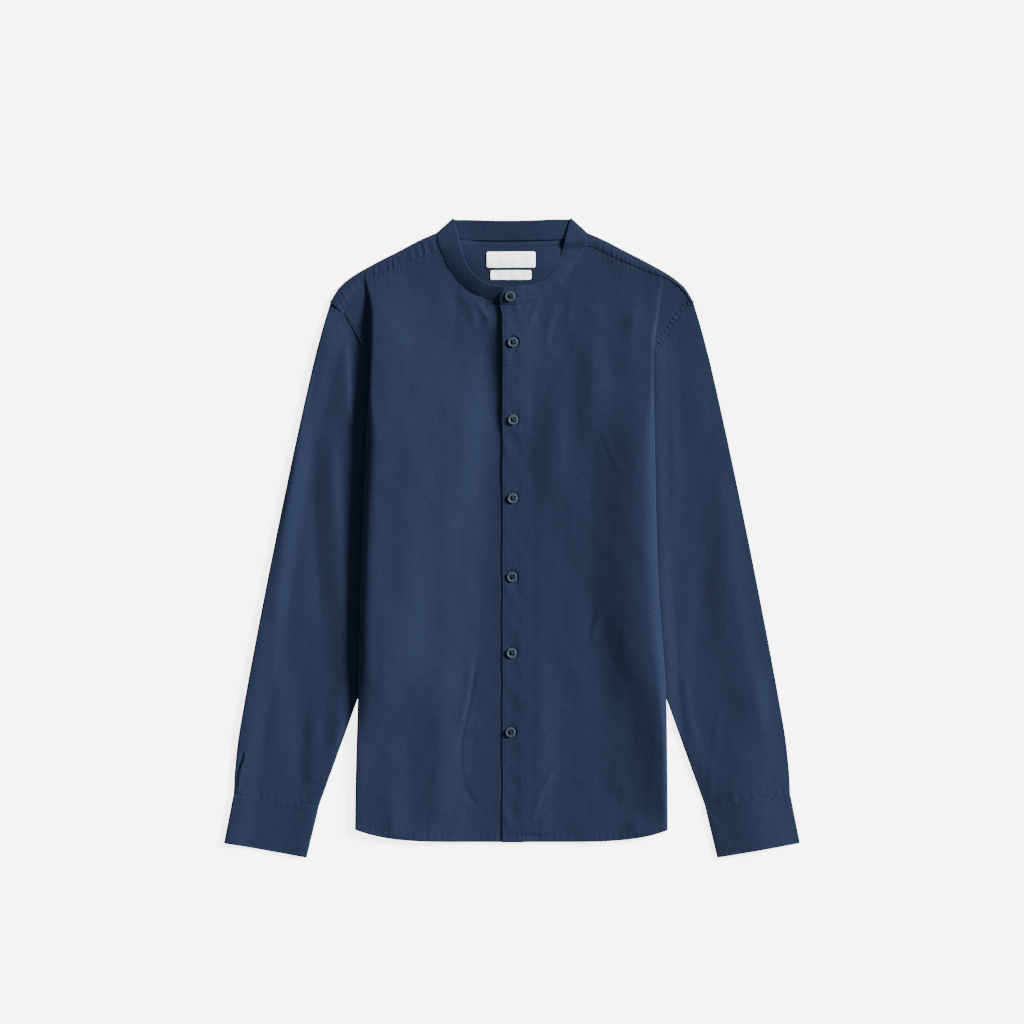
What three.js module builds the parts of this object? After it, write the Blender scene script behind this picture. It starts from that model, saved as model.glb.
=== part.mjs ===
import * as THREE from "three";

// A band-collar shirt laid flat on its back, buttoned, sleeves at its sides. Sizes are in millimetres:
// X runs across the chest, Y from the hem up to the collar, and Z up off the surface it lies on.
// The wearer's right is at -X and the wearer's left at +X.

const cloth = 1.0;                            // thickness of one layer of shirting
const gap = 0.3;                              // clearance between layers and at seams
const layer = cloth + gap;                    // from the middle of one layer to the middle of the next
const backLevel = cloth / 2;                  // the back panel rests on the surface
const frontLevel = backLevel + layer;         // the front rests on the back
const seamSet = 0.45;                         // from a panel's edge to the edge sewn beside it
const sleeveSet = 0.9;                        // the same round the curved armhole

const hemDrop = -370.5;                       // hem at the middle
const hemCornerRise = 15;                     // how much higher the hem is at the side creases
const hemHalfWidth = 190;
const hemCurve = 5;                           // power that keeps the hem flat up to its corners
const underarm = { x: 74, y: 120 };           // where side seam, armhole and sleeve seam meet
const armholeTurn = { x: 174, y: 222 };       // where the armhole dips under the side crease
const shoulderTip = { x: 222, y: 285.5 };
const cuffSeam = { outerX: 339.2, outerY: -314, innerX: 236, innerY: -327.8 };
const cuffEdge = { outerX: 350.6, outerY: -372, innerX: 250.8, innerY: -389.6 };
const cuffCloth = 1.4;                        // two layers with an interlining
const backYokeSeam = 270;                     // height of the yoke's seam across the back
const shoulderRoll = 1.8;                     // radius of the fold along each shoulder
const bandCloth = 1.6;                        // collar band, two layers and interlining
const placket = { from: -11.4, to: 13.4, top: 284.2 };
const underEdge = 12.5;                       // free edge of the right front, under the placket
const button = { radius: 6.4, thick: 2.4, rim: 0.7, dish: 0.6, base: 1.2, shoulder: 0.45, sides: 16 };

// Inside the edge of a layer beneath it the front starts to rise at "from" and is fully raised at "to".
const flapBridge = { from: 66, to: 10 };
const sleeveBridge = { from: 62, to: 18 };
const bridgeTop = 318;                        // at this height the front has come back down at the yoke
// The swelling behind each side crease; it dies out over "fade" times its reach, and up to the shoulder.
const crest = { height: 1.3, reach: 5, fade: 3.4, topFrom: 250, topTo: 315, hemTo: -300 };
const shoulderFall = 34;                      // from the shoulder's fold to where the cloth lies flat again
const shoulderLean = 0.87;                    // cosine of the shoulder's slope
const overlapEase = { from: 0.6, to: 12 };    // beyond the placket the left front comes down to the back
// Above the armhole's turn the front's flap sinks towards the surface, upwards and away from the crease.
const flapSink = { top: 256, from: 1.5, to: 36 };
const turnBlend = 8;                          // half the height over which a folded crease becomes a step
const leastFlap = 1.2;
// The sleeve rises towards the crease over the tucked back and flaps: its top layer and its lower one.
const topRide = { from: 4, to: 36, high: 256, ease: 240 };
const underRide = { from: 5, to: 18, high: 238 };
const sleeveFade = 0.3;                       // share of the sleeve that still bears the armhole's curve
const creaseClear = 1.6;                      // the sleeve's bend lies just outside the crease
const bendRoom = 14;
const tubeEdge = { fullFrom: 4, fullTo: 30, radius: 2.4, ease: 0.4 };
const sleeveFull = { outer: 2.4, inner: 1.2, headTo: 0.08, innerFrom: -215, innerTo: -270 };
const cuffFull = { outer: 1.8, inner: 1 };

const navy = new THREE.Color(0.035, 0.06, 0.115);
const wearerRight = { key: "right", sign: -1 };
const wearerLeft = { key: "left", sign: 1 };

// Distance of each side crease from the middle, at heights up the shirt.
const creaseTable = [
  { y: -356, right: 191, left: 189.5 },
  { y: -295, right: 190, left: 189 },
  { y: -190, right: 187, left: 187 },
  { y: -60, right: 184, left: 178 },
  { y: 110, right: 177.5, left: 173.5 },
  { y: 200, right: 173, left: 172 },
  { y: 235, right: 172, left: 172.5 },
  { y: 276, right: 173, left: 178 },
  { y: 319, right: 180, left: 183 },
];
// The side seam, hidden between front and back: its distance from the middle.
const sideSeamTable = [
  { y: -372, x: 115 },
  { y: -190, x: 104 },
  { y: 0, x: 88 },
  { y: 120, x: 74 },
];
// The armhole from where it dips under the crease up to the shoulder tip.
const armholeTable = [
  { y: 222, x: 174 },
  { y: 235, x: 182.5 },
  { y: 249, x: 190.5 },
  { y: 257, x: 195 },
  { y: 270, x: 204 },
  { y: 280, x: 213.5 },
  { y: 285.5, x: 222 },
];
// The yoke's front seam beyond the crease, by height: each side runs down to the armhole.
const yokeEndTable = {
  right: [
    { y: 276, x: 209 },
    { y: 283, x: 204.5 },
    { y: 295, x: 195 },
    { y: 306, x: 187.5 },
    { y: 316, x: 181.6 },
  ],
  left: [
    { y: 284, x: 219 },
    { y: 292, x: 215.5 },
    { y: 300, x: 210.7 },
    { y: 311, x: 197 },
    { y: 319, x: 184.8 },
  ],
};
// Top edge of each front, from the middle: the neckline, then the yoke seam.
const frontTopTable = [
  { x: 0, right: 287.2, left: 284.6 },
  { x: 18, right: 289, left: 287.8 },
  { x: 32, right: 292.8, left: 293 },
  { x: 49, right: 300.4, left: 303 },
  { x: 65.6, right: 314.3, left: 318.5 },
  { x: 78.7, right: 332, left: 337 },
  { x: 87.5, right: 353.5, left: 353.5 },
  { x: 95, right: 351.6, left: 357 },
  { x: 128, right: 337, left: 342 },
  { x: 165, right: 322, left: 326 },
  { x: 182, right: 316, left: 319 },
];
// The shoulder's outline from the neck point to the shoulder tip.
const shoulderTable = [
  { x: 92.7, y: 371.5 },
  { x: 111, y: 363.6 },
  { x: 139, y: 349 },
  { x: 168, y: 334 },
  { x: 193, y: 319.6 },
  { x: 210.5, y: 305 },
  { x: 221, y: 288.5 },
];
const backNeckTable = [
  { x: 0, y: 362.6 },
  { x: 50, y: 363.4 },
  { x: 75, y: 366 },
  { x: 92.7, y: 370 },
];
// The sleeve's outer outline, which is a fold, and its inner one under the arm.
const sleeveOuterTable = [
  { y: 285.5, x: 222.6 },
  { y: 254, x: 231.8 },
  { y: 205, x: 244 },
  { y: 58, x: 275.7 },
  { y: -88, x: 305 },
  { y: -234, x: 331.8 },
  { y: -283, x: 337.6 },
  { y: -314, x: 339.2 },
];
// Stations along each front of the collar band: its seam, its free edge and how high that edge stands.
const bandTable = {
  right: [
    { seamX: -9, seamY: 288.9, edgeX: -9, edgeY: 305.2, rise: 8.6 },
    { seamX: 5, seamY: 288.9, edgeX: 5, edgeY: 305.4, rise: 8.8 },
    { seamX: 18, seamY: 290, edgeX: 15, edgeY: 306.2, rise: 9 },
    { seamX: 32, seamY: 293.4, edgeX: 25.5, edgeY: 308.7, rise: 9 },
    { seamX: 48.6, seamY: 300.9, edgeX: 37.5, edgeY: 313.6, rise: 8.8 },
    { seamX: 65.1, seamY: 314.7, edgeX: 49, edgeY: 323.4, rise: 8.2 },
    { seamX: 78.2, seamY: 332.2, edgeX: 57.3, edgeY: 337.6, rise: 7 },
    { seamX: 85.6, seamY: 351, edgeX: 62.6, edgeY: 355.5, rise: 5 },
    { seamX: 89.4, seamY: 363, edgeX: 67, edgeY: 373, rise: 3 },
  ],
  left: [
    { seamX: -11.4, seamY: 285.4, edgeX: -6.4, edgeY: 304.6, rise: 8.6 },
    { seamX: 4, seamY: 285.6, edgeX: 5.2, edgeY: 305.5, rise: 8.8 },
    { seamX: 18, seamY: 288.4, edgeX: 16, edgeY: 306.6, rise: 9 },
    { seamX: 32, seamY: 293.6, edgeX: 26, edgeY: 309, rise: 9 },
    { seamX: 48.6, seamY: 303.5, edgeX: 38, edgeY: 314, rise: 8.8 },
    { seamX: 65.1, seamY: 318.9, edgeX: 49.6, edgeY: 324.4, rise: 8.2 },
    { seamX: 78.2, seamY: 337.4, edgeX: 58, edgeY: 340.4, rise: 7 },
    { seamX: 86, seamY: 353.4, edgeX: 63, edgeY: 356.5, rise: 5 },
    { seamX: 89.6, seamY: 364, edgeX: 67.4, edgeY: 373.5, rise: 3 },
  ],
};
const bandFold = { seamX: 91.2, seamY: 371.9, edgeX: 72.2, edgeY: 389.2 };
const bandBackEdge = 386.6;                   // the back of the band sags between its corners
const bandBack = { seamX: 84, edgeX: 68, seamUp: 0.2, edgeDown: 0.4 };
const bandRoll = 5;                           // height of the band's fold at its free edge
const bandOver = { from: 14, to: 46 };        // where the over end comes down to the under end's level
const bandTurn = { seam: 82, edge: 84, to: 96 };
// Centres of the placket's buttons, from the collar down.
const buttonTable = [
  { x: 0.9, y: 238.3 },
  { x: 1.1, y: 144 },
  { x: 0.6, y: 48.4 },
  { x: 0, y: -47.6 },
  { x: -0.6, y: -140.3 },
  { x: -1.8, y: -236.7 },
];
const collarButton = { x: -2.4, y: 294 };
const labels = [
  { name: "label_main", x: -1.2, y: 339.1, width: 58.9, height: 19.2 },
  { name: "label_small", x: -1.4, y: 320.4, width: 49.2, height: 11.2 },
];

// Rises smoothly from 0 at a to 1 at b.
function smooth(a, b, value) {
  const t = Math.min(1, Math.max(0, (value - a) / (b - a)));
  return t * t * (3 - 2 * t);
}

const mix = (a, b, t) => a + (b - a) * t;

// Reads a column of a table at a value of its key, along a curve that passes through every row.
function read(table, key, column, value) {
  const last = table.length - 1;
  const at = Math.min(table[last][key], Math.max(table[0][key], value));
  let i = 0;
  while (i < last - 1 && at > table[i + 1][key]) i += 1;
  const slope = (k) => {
    const low = table[Math.max(0, k - 1)];
    const high = table[Math.min(last, k + 1)];
    return (high[column] - low[column]) / (high[key] - low[key]);
  };
  const span = table[i + 1][key] - table[i][key];
  const t = (at - table[i][key]) / span;
  const start = (2 * t ** 3 - 3 * t ** 2 + 1) * table[i][column] + (t ** 3 - 2 * t ** 2 + t) * span * slope(i);
  const end = (3 * t ** 2 - 2 * t ** 3) * table[i + 1][column] + (t ** 3 - t ** 2) * span * slope(i + 1);
  return start + end;
}

// Reads a table in straight lines between its rows.
function readStraight(table, key, column, value) {
  let i = 0;
  while (i < table.length - 2 && value > table[i + 1][key]) i += 1;
  const t = (value - table[i][key]) / (table[i + 1][key] - table[i][key]);
  return mix(table[i][column], table[i + 1][column], Math.min(1, Math.max(0, t)));
}

const crease = (side, y) => read(creaseTable, "y", side.key, y);
const hem = (x) => hemDrop + hemCornerRise * Math.min(1.2, Math.abs(x) / hemHalfWidth) ** hemCurve;

// The hidden quarter of the armhole is a quarter ellipse from the crease down to the underarm.
function hiddenArmhole(y) {
  const up = Math.min(1, Math.max(0, (y - underarm.y) / (armholeTurn.y - underarm.y)));
  return armholeTurn.x - (armholeTurn.x - underarm.x) * Math.sqrt(1 - up * up);
}

// Where a side flap ends: on the side seam, the armhole or, on the front, the yoke seam.
function flapEnd(side, y, yokeEnds) {
  if (y <= underarm.y) return read(sideSeamTable, "y", "x", y);
  if (y < armholeTurn.y) return hiddenArmhole(y);
  if (yokeEnds && y > yokeEnds[0].y) return readStraight(yokeEnds, "y", "x", y);
  return readStraight(armholeTable, "y", "x", y);
}

// The sleeve's inner fold is straight from the underarm to the cuff.
function sleeveInner(y) {
  const t = (underarm.y - y) / (underarm.y - cuffSeam.innerY);
  return mix(underarm.x, cuffSeam.innerX, t);
}

// 1 where the tucked flaps lie under the front, fading to 0 towards the middle and up to the yoke.
function flapLift(side, x, y) {
  const edge = y < armholeTurn.y ? flapEnd(side, y) : crease(side, y);
  return smooth(edge - flapBridge.from, edge - flapBridge.to, x) * (1 - smooth(armholeTurn.y, bridgeTop, y));
}

// 1 where the sleeve passes under the front.
function sleeveLift(side, x, y) {
  const edge = y > underarm.y ? Math.min(flapEnd(side, y), crease(side, y)) : sleeveInner(y);
  const below = 1 - smooth(armholeTurn.y, bridgeTop, y);
  return smooth(edge - sleeveBridge.from, edge - sleeveBridge.to, x) * below;
}

// A soft swelling behind a fold: from 0 at the fold to 1 a little way in, and back to 0.
function swell(inset) {
  if (inset < crest.reach) return Math.sqrt(1 - (1 - inset / crest.reach) ** 2);
  return 1 - smooth(crest.reach, crest.fade * crest.reach, inset);
}

// How far the shoulder's fold lifts the cloth near it.
function shoulderLift(x, y) {
  const below = Math.max(0, (read(shoulderTable, "x", "y", x) - y) * shoulderLean);
  return (2 * shoulderRoll - layer) * (1 - smooth(0, shoulderFall, below));
}

// Middle height of the front: on the back, then on the flaps, then on the sleeve as well.
function frontHeight(side, x, y) {
  const inset = Math.max(0, crease(side, y) - x);
  const lifted = 2 * layer * (flapLift(side, x, y) + sleeveLift(side, x, y));
  const along = (1 - smooth(crest.topFrom, crest.topTo, y)) * smooth(hemDrop, crest.hemTo, y);
  return frontLevel + lifted + crest.height * swell(inset) * along + shoulderLift(x, y);
}

// Middle height of the front's flap: tucked on the sleeve, or spread low beside the crease.
function frontFlapHeight(side, x, y) {
  const tucked = frontLevel + layer + 2 * layer * sleeveLift(side, Math.min(x, crease(side, y)), y);
  if (y <= armholeTurn.y) return tucked;
  const settle = 1 - smooth(armholeTurn.y, flapSink.top, y);
  const away = 1 - smooth(flapSink.from, flapSink.to, x - crease(side, y));
  return frontLevel + 3 * layer * settle * away + shoulderLift(x, y);
}

// A wall of cloth through a grid of middle points. Cells may be left out, and a tube's columns close up.
function clothWall(columns, rows, pointAt, thickness, options = {}) {
  const { exists = () => true, tube = false } = options;
  const wrap = (i) => (tube ? (i + columns) % columns : i);
  const cellColumns = tube ? columns : columns - 1;
  const has = (i, j) => {
    if (j < 0 || j >= rows - 1) return false;
    if (!tube && (i < 0 || i >= cellColumns)) return false;
    return exists(wrap(i), j);
  };
  const points = [];
  const normals = [];
  for (let j = 0; j < rows; j += 1) {
    for (let i = 0; i < columns; i += 1) {
      points.push(pointAt(i, j));
      normals.push(new THREE.Vector3());
    }
  }
  const id = (i, j) => j * columns + wrap(i);
  for (let j = 0; j < rows - 1; j += 1) {
    for (let i = 0; i < cellColumns; i += 1) {
      if (!has(i, j)) continue;
      const corners = [id(i, j), id(i + 1, j), id(i + 1, j + 1), id(i, j + 1)];
      const across = points[corners[2]].clone().sub(points[corners[0]]);
      const upward = points[corners[3]].clone().sub(points[corners[1]]);
      const facing = across.cross(upward).normalize();
      for (const corner of corners) normals[corner].add(facing);
    }
  }
  const positions = [];
  for (const face of [0.5, -0.5]) {
    points.forEach((point, k) => {
      const moved = point.clone().addScaledVector(normals[k].clone().normalize(), face * thickness);
      positions.push(moved.x, moved.y, moved.z);
    });
  }
  const under = points.length;
  const triangles = [];
  const quad = (a, b, c, d) => triangles.push(a, b, c, a, c, d);
  for (let j = 0; j < rows - 1; j += 1) {
    for (let i = 0; i < cellColumns; i += 1) {
      if (!has(i, j)) continue;
      const a = id(i, j);
      const b = id(i + 1, j);
      const c = id(i + 1, j + 1);
      const d = id(i, j + 1);
      quad(a, b, c, d);
      quad(d + under, c + under, b + under, a + under);
      if (!has(i, j - 1)) quad(a, a + under, b + under, b);
      if (!has(i + 1, j)) quad(b, b + under, c + under, c);
      if (!has(i, j + 1)) quad(c, c + under, d + under, d);
      if (!has(i - 1, j)) quad(d, d + under, a + under, a);
    }
  }
  const geometry = new THREE.BufferGeometry();
  geometry.setAttribute("position", new THREE.Float32BufferAttribute(positions, 3));
  geometry.setIndex(triangles);
  return dropUnused(geometry);
}

// Leaves out points that no face uses.
function dropUnused(geometry) {
  const index = Array.from(geometry.index.array);
  const from = geometry.attributes.position;
  const kept = new Map();
  const positions = [];
  const renumbered = index.map((k) => {
    if (!kept.has(k)) {
      kept.set(k, kept.size);
      positions.push(from.getX(k), from.getY(k), from.getZ(k));
    }
    return kept.get(k);
  });
  const clean = new THREE.BufferGeometry();
  clean.setAttribute("position", new THREE.Float32BufferAttribute(positions, 3));
  clean.setIndex(renumbered);
  clean.computeVertexNormals();
  return clean;
}

function shirting(roughness = 0.85) {
  return new THREE.MeshStandardMaterial({ color: navy, roughness, metalness: 0 });
}

const shirt = new THREE.Group();

function addPiece(name, geometry, material = shirting()) {
  const mesh = new THREE.Mesh(geometry, material);
  mesh.name = name;
  shirt.add(mesh);
  return mesh;
}

// Body panels are read across in stations: a run out to the crease, the turn of the fold, and the flap.
const bodyHeights = [-363, -352, -325, -270, -210, -150, -90, -30, 30, 80, 115, 145, 172, 192, 207, 216, 221];
const runInsets = [24, 13, 6, 2.5, 1];
const turnAngles = [45, 0, -45, -90];
const frontFlapShares = [0.22, 0.48, 0.74, 1];
const backFlapShares = [0.35, 0.7, 1];
const spreadSteps = [0.4, 1.1, 1.9, 2.7];
const spreadFalls = [0.25, 0.55, 0.85, 1];
const aboveTurn = armholeTurn.y + 3;          // the first row above the armhole's turn

// Stations outward from a run of inner places, which stand at fixed distances from the middle.
function bodyStations(innerPlaces, flapShares) {
  const stations = innerPlaces.map((x) => ({ kind: "run", x }));
  runInsets.forEach((inset) => stations.push({ kind: "near", inset }));
  turnAngles.forEach((angle, k) => stations.push({ kind: "turn", angle, k }));
  flapShares.forEach((share) => stations.push({ kind: "flap", share }));
  return stations;
}

// Across and height of one station at height y; main and flap give each layer's height.
function stationPlace(side, station, y, main, flap, yokeEnds) {
  const edge = crease(side, y);
  const half = layer / 2;
  if (station.kind === "run") return { x: station.x, z: main(station.x, y) };
  if (station.kind === "near") return { x: edge - station.inset, z: main(edge - station.inset, y) };
  const end = flapEnd(side, y, yokeEnds);
  const spread = smooth(armholeTurn.y - turnBlend, armholeTurn.y + turnBlend, y);
  const lowAtTurn = flap(edge - half, y);
  const turn = (angle, k) => {
    const bend = THREE.MathUtils.degToRad(angle);
    const up = Math.sign(main(edge, y) - lowAtTurn) || 1;
    const rise = half + half * Math.sin(bend);
    const folded = { x: edge - half + half * Math.cos(bend), z: lowAtTurn + up * rise };
    const low = flap(edge + spreadSteps[k], y);
    const stepped = { x: edge + spreadSteps[k] * 0.5, z: mix(main(edge - 1, y), low, spreadFalls[k]) };
    return { x: mix(folded.x, stepped.x, spread), z: mix(folded.z, stepped.z, spread) };
  };
  if (station.kind === "turn") return turn(station.angle, station.k);
  const start = turn(turnAngles[3], 3);
  const outward = Math.max(end, start.x + leastFlap);
  const inward = Math.min(end, start.x - leastFlap);
  const stop = mix(inward, outward, y >= armholeTurn.y ? 1 : 0);
  const x = mix(start.x, stop, station.share);
  return { x, z: mix(start.z, flap(x, y), Math.min(1, station.share * 3)) };
}

function frontPiece(side, innerPlaces) {
  const yokeEnds = yokeEndTable[side.key];
  const top = yokeEnds[yokeEnds.length - 1].y;
  const inArmhole = (row) => row.y > aboveTurn && row.y < yokeEnds[0].y - 1;
  const armRows = armholeTable.filter(inArmhole).map((row) => row.y);
  const heights = [...bodyHeights, aboveTurn, ...armRows, ...yokeEnds.map((row) => row.y)];
  const stations = bodyStations(innerPlaces, frontFlapShares);
  const main = (x, y) => frontHeight(side, x, y) + overlapLift(side, x);
  const flap = (x, y) => frontFlapHeight(side, x, y);
  const pointAt = (i, j) => {
    const nominal = heights[j];
    const share = (nominal - heights[0]) / (top - heights[0]);
    const place = stationPlace(side, stations[i], nominal, main, flap, yokeEnds);
    const inner = stations[i].kind === "run" || stations[i].kind === "near";
    const topHere = inner ? read(frontTopTable, "x", side.key, Math.max(0, place.x)) : top;
    const y = mix(hem(place.x), topHere, share);
    if (!inner) return new THREE.Vector3(side.sign * place.x, y, place.z);
    return new THREE.Vector3(side.sign * place.x, y, main(place.x, y));
  };
  const flip = side.sign < 0;
  const count = stations.length;
  const at = flip ? (i, j) => pointAt(count - 1 - i, j) : pointAt;
  return { geometry: clothWall(count, heights.length, at, cloth), heights, pointAt };
}

// The left front passes over the right one along the placket.
function overlapLift(side, x) {
  if (side.sign < 0) return 0;
  return layer * (1 - smooth(placket.to + overlapEase.from, placket.to + overlapEase.to, x));
}

function addFronts() {
  const chestPlaces = [49, 65.6, 78.7, 87.5, 104, 124, 142];
  const rightPlaces = [-underEdge, -4, 14, 32, ...chestPlaces];
  const leftPlaces = [placket.from, 1, placket.to, 22, 34, ...chestPlaces];
  const right = frontPiece(wearerRight, rightPlaces);
  const left = frontPiece(wearerLeft, leftPlaces);
  addPiece("front_right", right.geometry);
  addPiece("front_left", left.geometry);
  const strip = (i, j) => left.pointAt(i, j).add(new THREE.Vector3(0, 0, layer));
  addPiece("placket", clothWall(3, left.heights.length, strip, cloth));
}

function addBack() {
  const innerPlaces = [0, 30, 60, 90, 120, 142];
  const heights = [...bodyHeights, aboveTurn, 235, 249, 257, backYokeSeam - seamSet];
  const bottom = heights[0];
  const top = heights[heights.length - 1];
  const main = () => backLevel;
  const flap = (x, y) => (y < armholeTurn.y ? backLevel + layer : backLevel);
  const half = (side) => {
    const stations = bodyStations(innerPlaces.slice(side.sign > 0 ? 0 : 1), backFlapShares);
    return stations.map((station) => (j) => {
      const share = (heights[j] - bottom) / (top - bottom);
      const place = stationPlace(side, station, heights[j], main, flap);
      return new THREE.Vector3(side.sign * place.x, mix(hem(place.x), top, share), place.z);
    });
  };
  const places = [...half(wearerRight).reverse(), ...half(wearerLeft)];
  addPiece("back", clothWall(places.length, heights.length, (i, j) => places[i](j), cloth));
}

// The yoke: flat behind the neck, and on each shoulder folded over to its seam on the front.
function addYoke() {
  const neckPoint = shoulderTable[0];
  const shoulderX = [neckPoint.x, 106, 124, 142, 157, 171, 181, 191, 201, 211, 221];
  const centreX = [-70, -35, 0, 35, 70];
  const columns = [
    ...shoulderX.map((x, k) => ({ side: wearerRight, x, k })).reverse(),
    ...centreX.map((x) => ({ side: null, x })),
    ...shoulderX.map((x, k) => ({ side: wearerLeft, x, k })),
  ];
  const underRows = 3;
  const rollAngles = [-90, -30, 30, 90];
  const frontShares = [0.35, 0.7, 1];
  const rows = underRows + rollAngles.length + frontShares.length;
  const backArmhole = (x) => {
    const from = readStraight(armholeTable, "y", "x", backYokeSeam);
    return mix(backYokeSeam, shoulderTip.y, smooth(from, shoulderTip.x, x));
  };
  const neckEdge = 88.4;
  const cornerSet = 2.5 * seamSet;
  const innerReach = 219;                     // the under layer stops just inside the shoulder's tip
  const seamPlace = (side, k) => {
    const ends = yokeEndTable[side.key];
    const corner = ends[ends.length - 1];
    const edge = crease(side, corner.y);
    const places = [neckEdge, 104, 124, 142, edge - runInsets[0], edge - runInsets[2]];
    if (k < places.length) return { x: places[k], y: read(frontTopTable, "x", side.key, places[k]) + seamSet };
    const row = ends[ends.length - 1 - (k - places.length)];
    return { x: row.x + cornerSet, y: row.y + cornerSet };
  };
  const foldNormal = (x) => {
    const tip = shoulderTable[shoulderTable.length - 1].x;
    const rise = read(shoulderTable, "x", "y", Math.min(tip - 1, x + 1)) - read(shoulderTable, "x", "y", x - 1);
    return new THREE.Vector2(-rise / 2, 1).normalize();
  };
  const pointAt = (i, j) => {
    const { side, x, k } = columns[i];
    const underShare = Math.min(1, j / underRows);
    if (!side) {
      const neck = read(backNeckTable, "x", "y", Math.abs(x)) - seamSet;
      return new THREE.Vector3(x, mix(backYokeSeam + seamSet, neck, underShare), backLevel);
    }
    const out = foldNormal(x);
    const foldY = read(shoulderTable, "x", "y", x);
    const axle = { x: x - shoulderRoll * out.x, y: foldY - shoulderRoll * out.y };
    if (j <= underRows) {
      const y = mix(backArmhole(x) + seamSet, axle.y, underShare);
      return new THREE.Vector3(side.sign * mix(Math.min(x, innerReach), axle.x, underShare), y, backLevel);
    }
    const rollStep = j - underRows;
    const axleZ = backLevel + shoulderRoll;
    if (rollStep < rollAngles.length) {
      const bend = THREE.MathUtils.degToRad(rollAngles[rollStep]);
      const reach = shoulderRoll * Math.cos(bend);
      const place = { x: axle.x + reach * out.x, y: axle.y + reach * out.y };
      return new THREE.Vector3(side.sign * place.x, place.y, axleZ + shoulderRoll * Math.sin(bend));
    }
    const seam = seamPlace(side, k);
    const t = frontShares[rollStep - rollAngles.length];
    const place = { x: mix(axle.x, seam.x, t), y: mix(axle.y, seam.y, t) };
    return new THREE.Vector3(side.sign * place.x, place.y, yokeHeight(side, place.x, place.y, t));
  };
  const exists = (i, j) => j < underRows || (columns[i].side !== null && columns[i + 1].side === columns[i].side);
  addPiece("yoke", clothWall(columns.length, rows, pointAt, cloth, { exists }));
}

// The yoke's front stays level with the front panel it is sewn to.
function yokeHeight(side, x, y, share) {
  const panel = x < crease(side, y) ? frontHeight(side, x, y) : frontFlapHeight(side, x, y);
  return mix(backLevel + 2 * shoulderRoll, panel, smooth(0, 1, share));
}

// The armhole as a curve from the shoulder tip to the underarm.
function armholeCurve() {
  const upper = armholeTable.slice().reverse().map((row) => new THREE.Vector3(row.x, row.y, 0));
  const steps = 6;
  for (let k = 1; k <= steps; k += 1) {
    const turn = (k / steps) * Math.PI / 2;
    const x = armholeTurn.x - (armholeTurn.x - underarm.x) * Math.sin(turn);
    upper.push(new THREE.Vector3(x, underarm.y + (armholeTurn.y - underarm.y) * Math.cos(turn), 0));
  }
  return new THREE.CatmullRomCurve3(upper, false, "centripetal");
}

const armhole = armholeCurve();

// A point of the flattened sleeve: length runs 0 to 1 from armhole to cuff, across from the outer fold.
function sleevePlan(length, across) {
  const y = mix(shoulderTip.y, cuffSeam.outerY, length);
  const outer = { x: read(sleeveOuterRows, "y", "x", y), y };
  const innerY = mix(underarm.y, cuffSeam.innerY, length);
  const inner = { x: sleeveInner(innerY), y: innerY };
  const fade = Math.max(0, 1 - length / sleeveFade) ** 2;
  const onSeam = armhole.getPointAt(across);
  const tangent = armhole.getTangentAt(across);
  const chord = { x: mix(shoulderTip.x, underarm.x, across), y: mix(shoulderTip.y, underarm.y, across) };
  return {
    x: mix(outer.x, inner.x, across) + fade * (onSeam.x - tangent.y * sleeveSet - chord.x),
    y: mix(outer.y, inner.y, across) + fade * (onSeam.y + tangent.x * sleeveSet - chord.y),
  };
}

// How far across a ring of the sleeve the body's side crease lies, up to near the inner fold.
function creaseAcross(side, length, width) {
  let low = 0;
  let high = 1;
  for (let k = 0; k < 30; k += 1) {
    const middle = (low + high) / 2;
    const plan = sleevePlan(length, middle);
    if (plan.x > crease(side, plan.y) + creaseClear) low = middle;
    else high = middle;
  }
  return Math.min(low * width, width - bendRoom);
}

const sleeveOuterRows = sleeveOuterTable.slice().reverse();

// How high the sleeve rides over the tucked back and under the front, for each of its two layers.
function sleeveRide(side, x, y, top) {
  const beyond = x - crease(side, y);
  if (top) {
    const above = smooth(armholeTurn.y, topRide.high, y);
    const rise = y <= armholeTurn.y ? 2 : 3 * (1 - above) - (1 - smooth(armholeTurn.y, topRide.ease, y));
    return layer * rise * (1 - smooth(topRide.from, topRide.to, beyond));
  }
  const near = 1 - smooth(underRide.from, underRide.to, beyond);
  return 2 * layer * near * (1 - smooth(armholeTurn.y - 1, underRide.high, y));
}

// Places round a flattened tube: across the top from the outer fold, then back underneath. A bend is where
// the body's crease crosses it.
function tubePlaces(width, bend) {
  const nearFold = [0.7, 2.4, 6, 14];
  const fall = bend - topRide.to;
  const spread = mix(nearFold[3], fall, 0.5);
  const across = [...nearFold, Math.max(spread, 18), Math.max(fall, 22), bend - bendRoom, bend];
  const beyond = [mix(bend, width - 8, 0.5), width - 8, width - nearFold[1], width - nearFold[0]];
  const inside = [...across, ...beyond];
  return [
    { d: 0, top: true },
    ...inside.map((d) => ({ d, top: true })),
    { d: width, top: true },
    ...inside.slice().reverse().map((d) => ({ d, top: false })),
  ];
}

const tubeCount = tubePlaces(200, 100).length;

// Height of a tube's cloth at distance d from its outer fold, folds rounded at both edges.
function tubeHeight(place, width, thick, fullness, ride) {
  const fromEdge = Math.min(place.d, width - place.d);
  const outer = place.d < width / 2;
  const near = 1 - smooth(tubeEdge.fullFrom, tubeEdge.fullTo, fromEdge);
  const full = (outer ? fullness.outer : fullness.inner) * near;
  const apart = thick + gap + full;
  const radius = Math.min(tubeEdge.radius, apart / 2 + tubeEdge.ease);
  const rounded = fromEdge >= radius ? 1 : Math.sqrt(1 - (1 - fromEdge / radius) ** 2);
  const middle = thick / 2 + apart / 2;
  return ride + middle + (place.top ? 1 : -1) * rounded * apart / 2;
}

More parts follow.
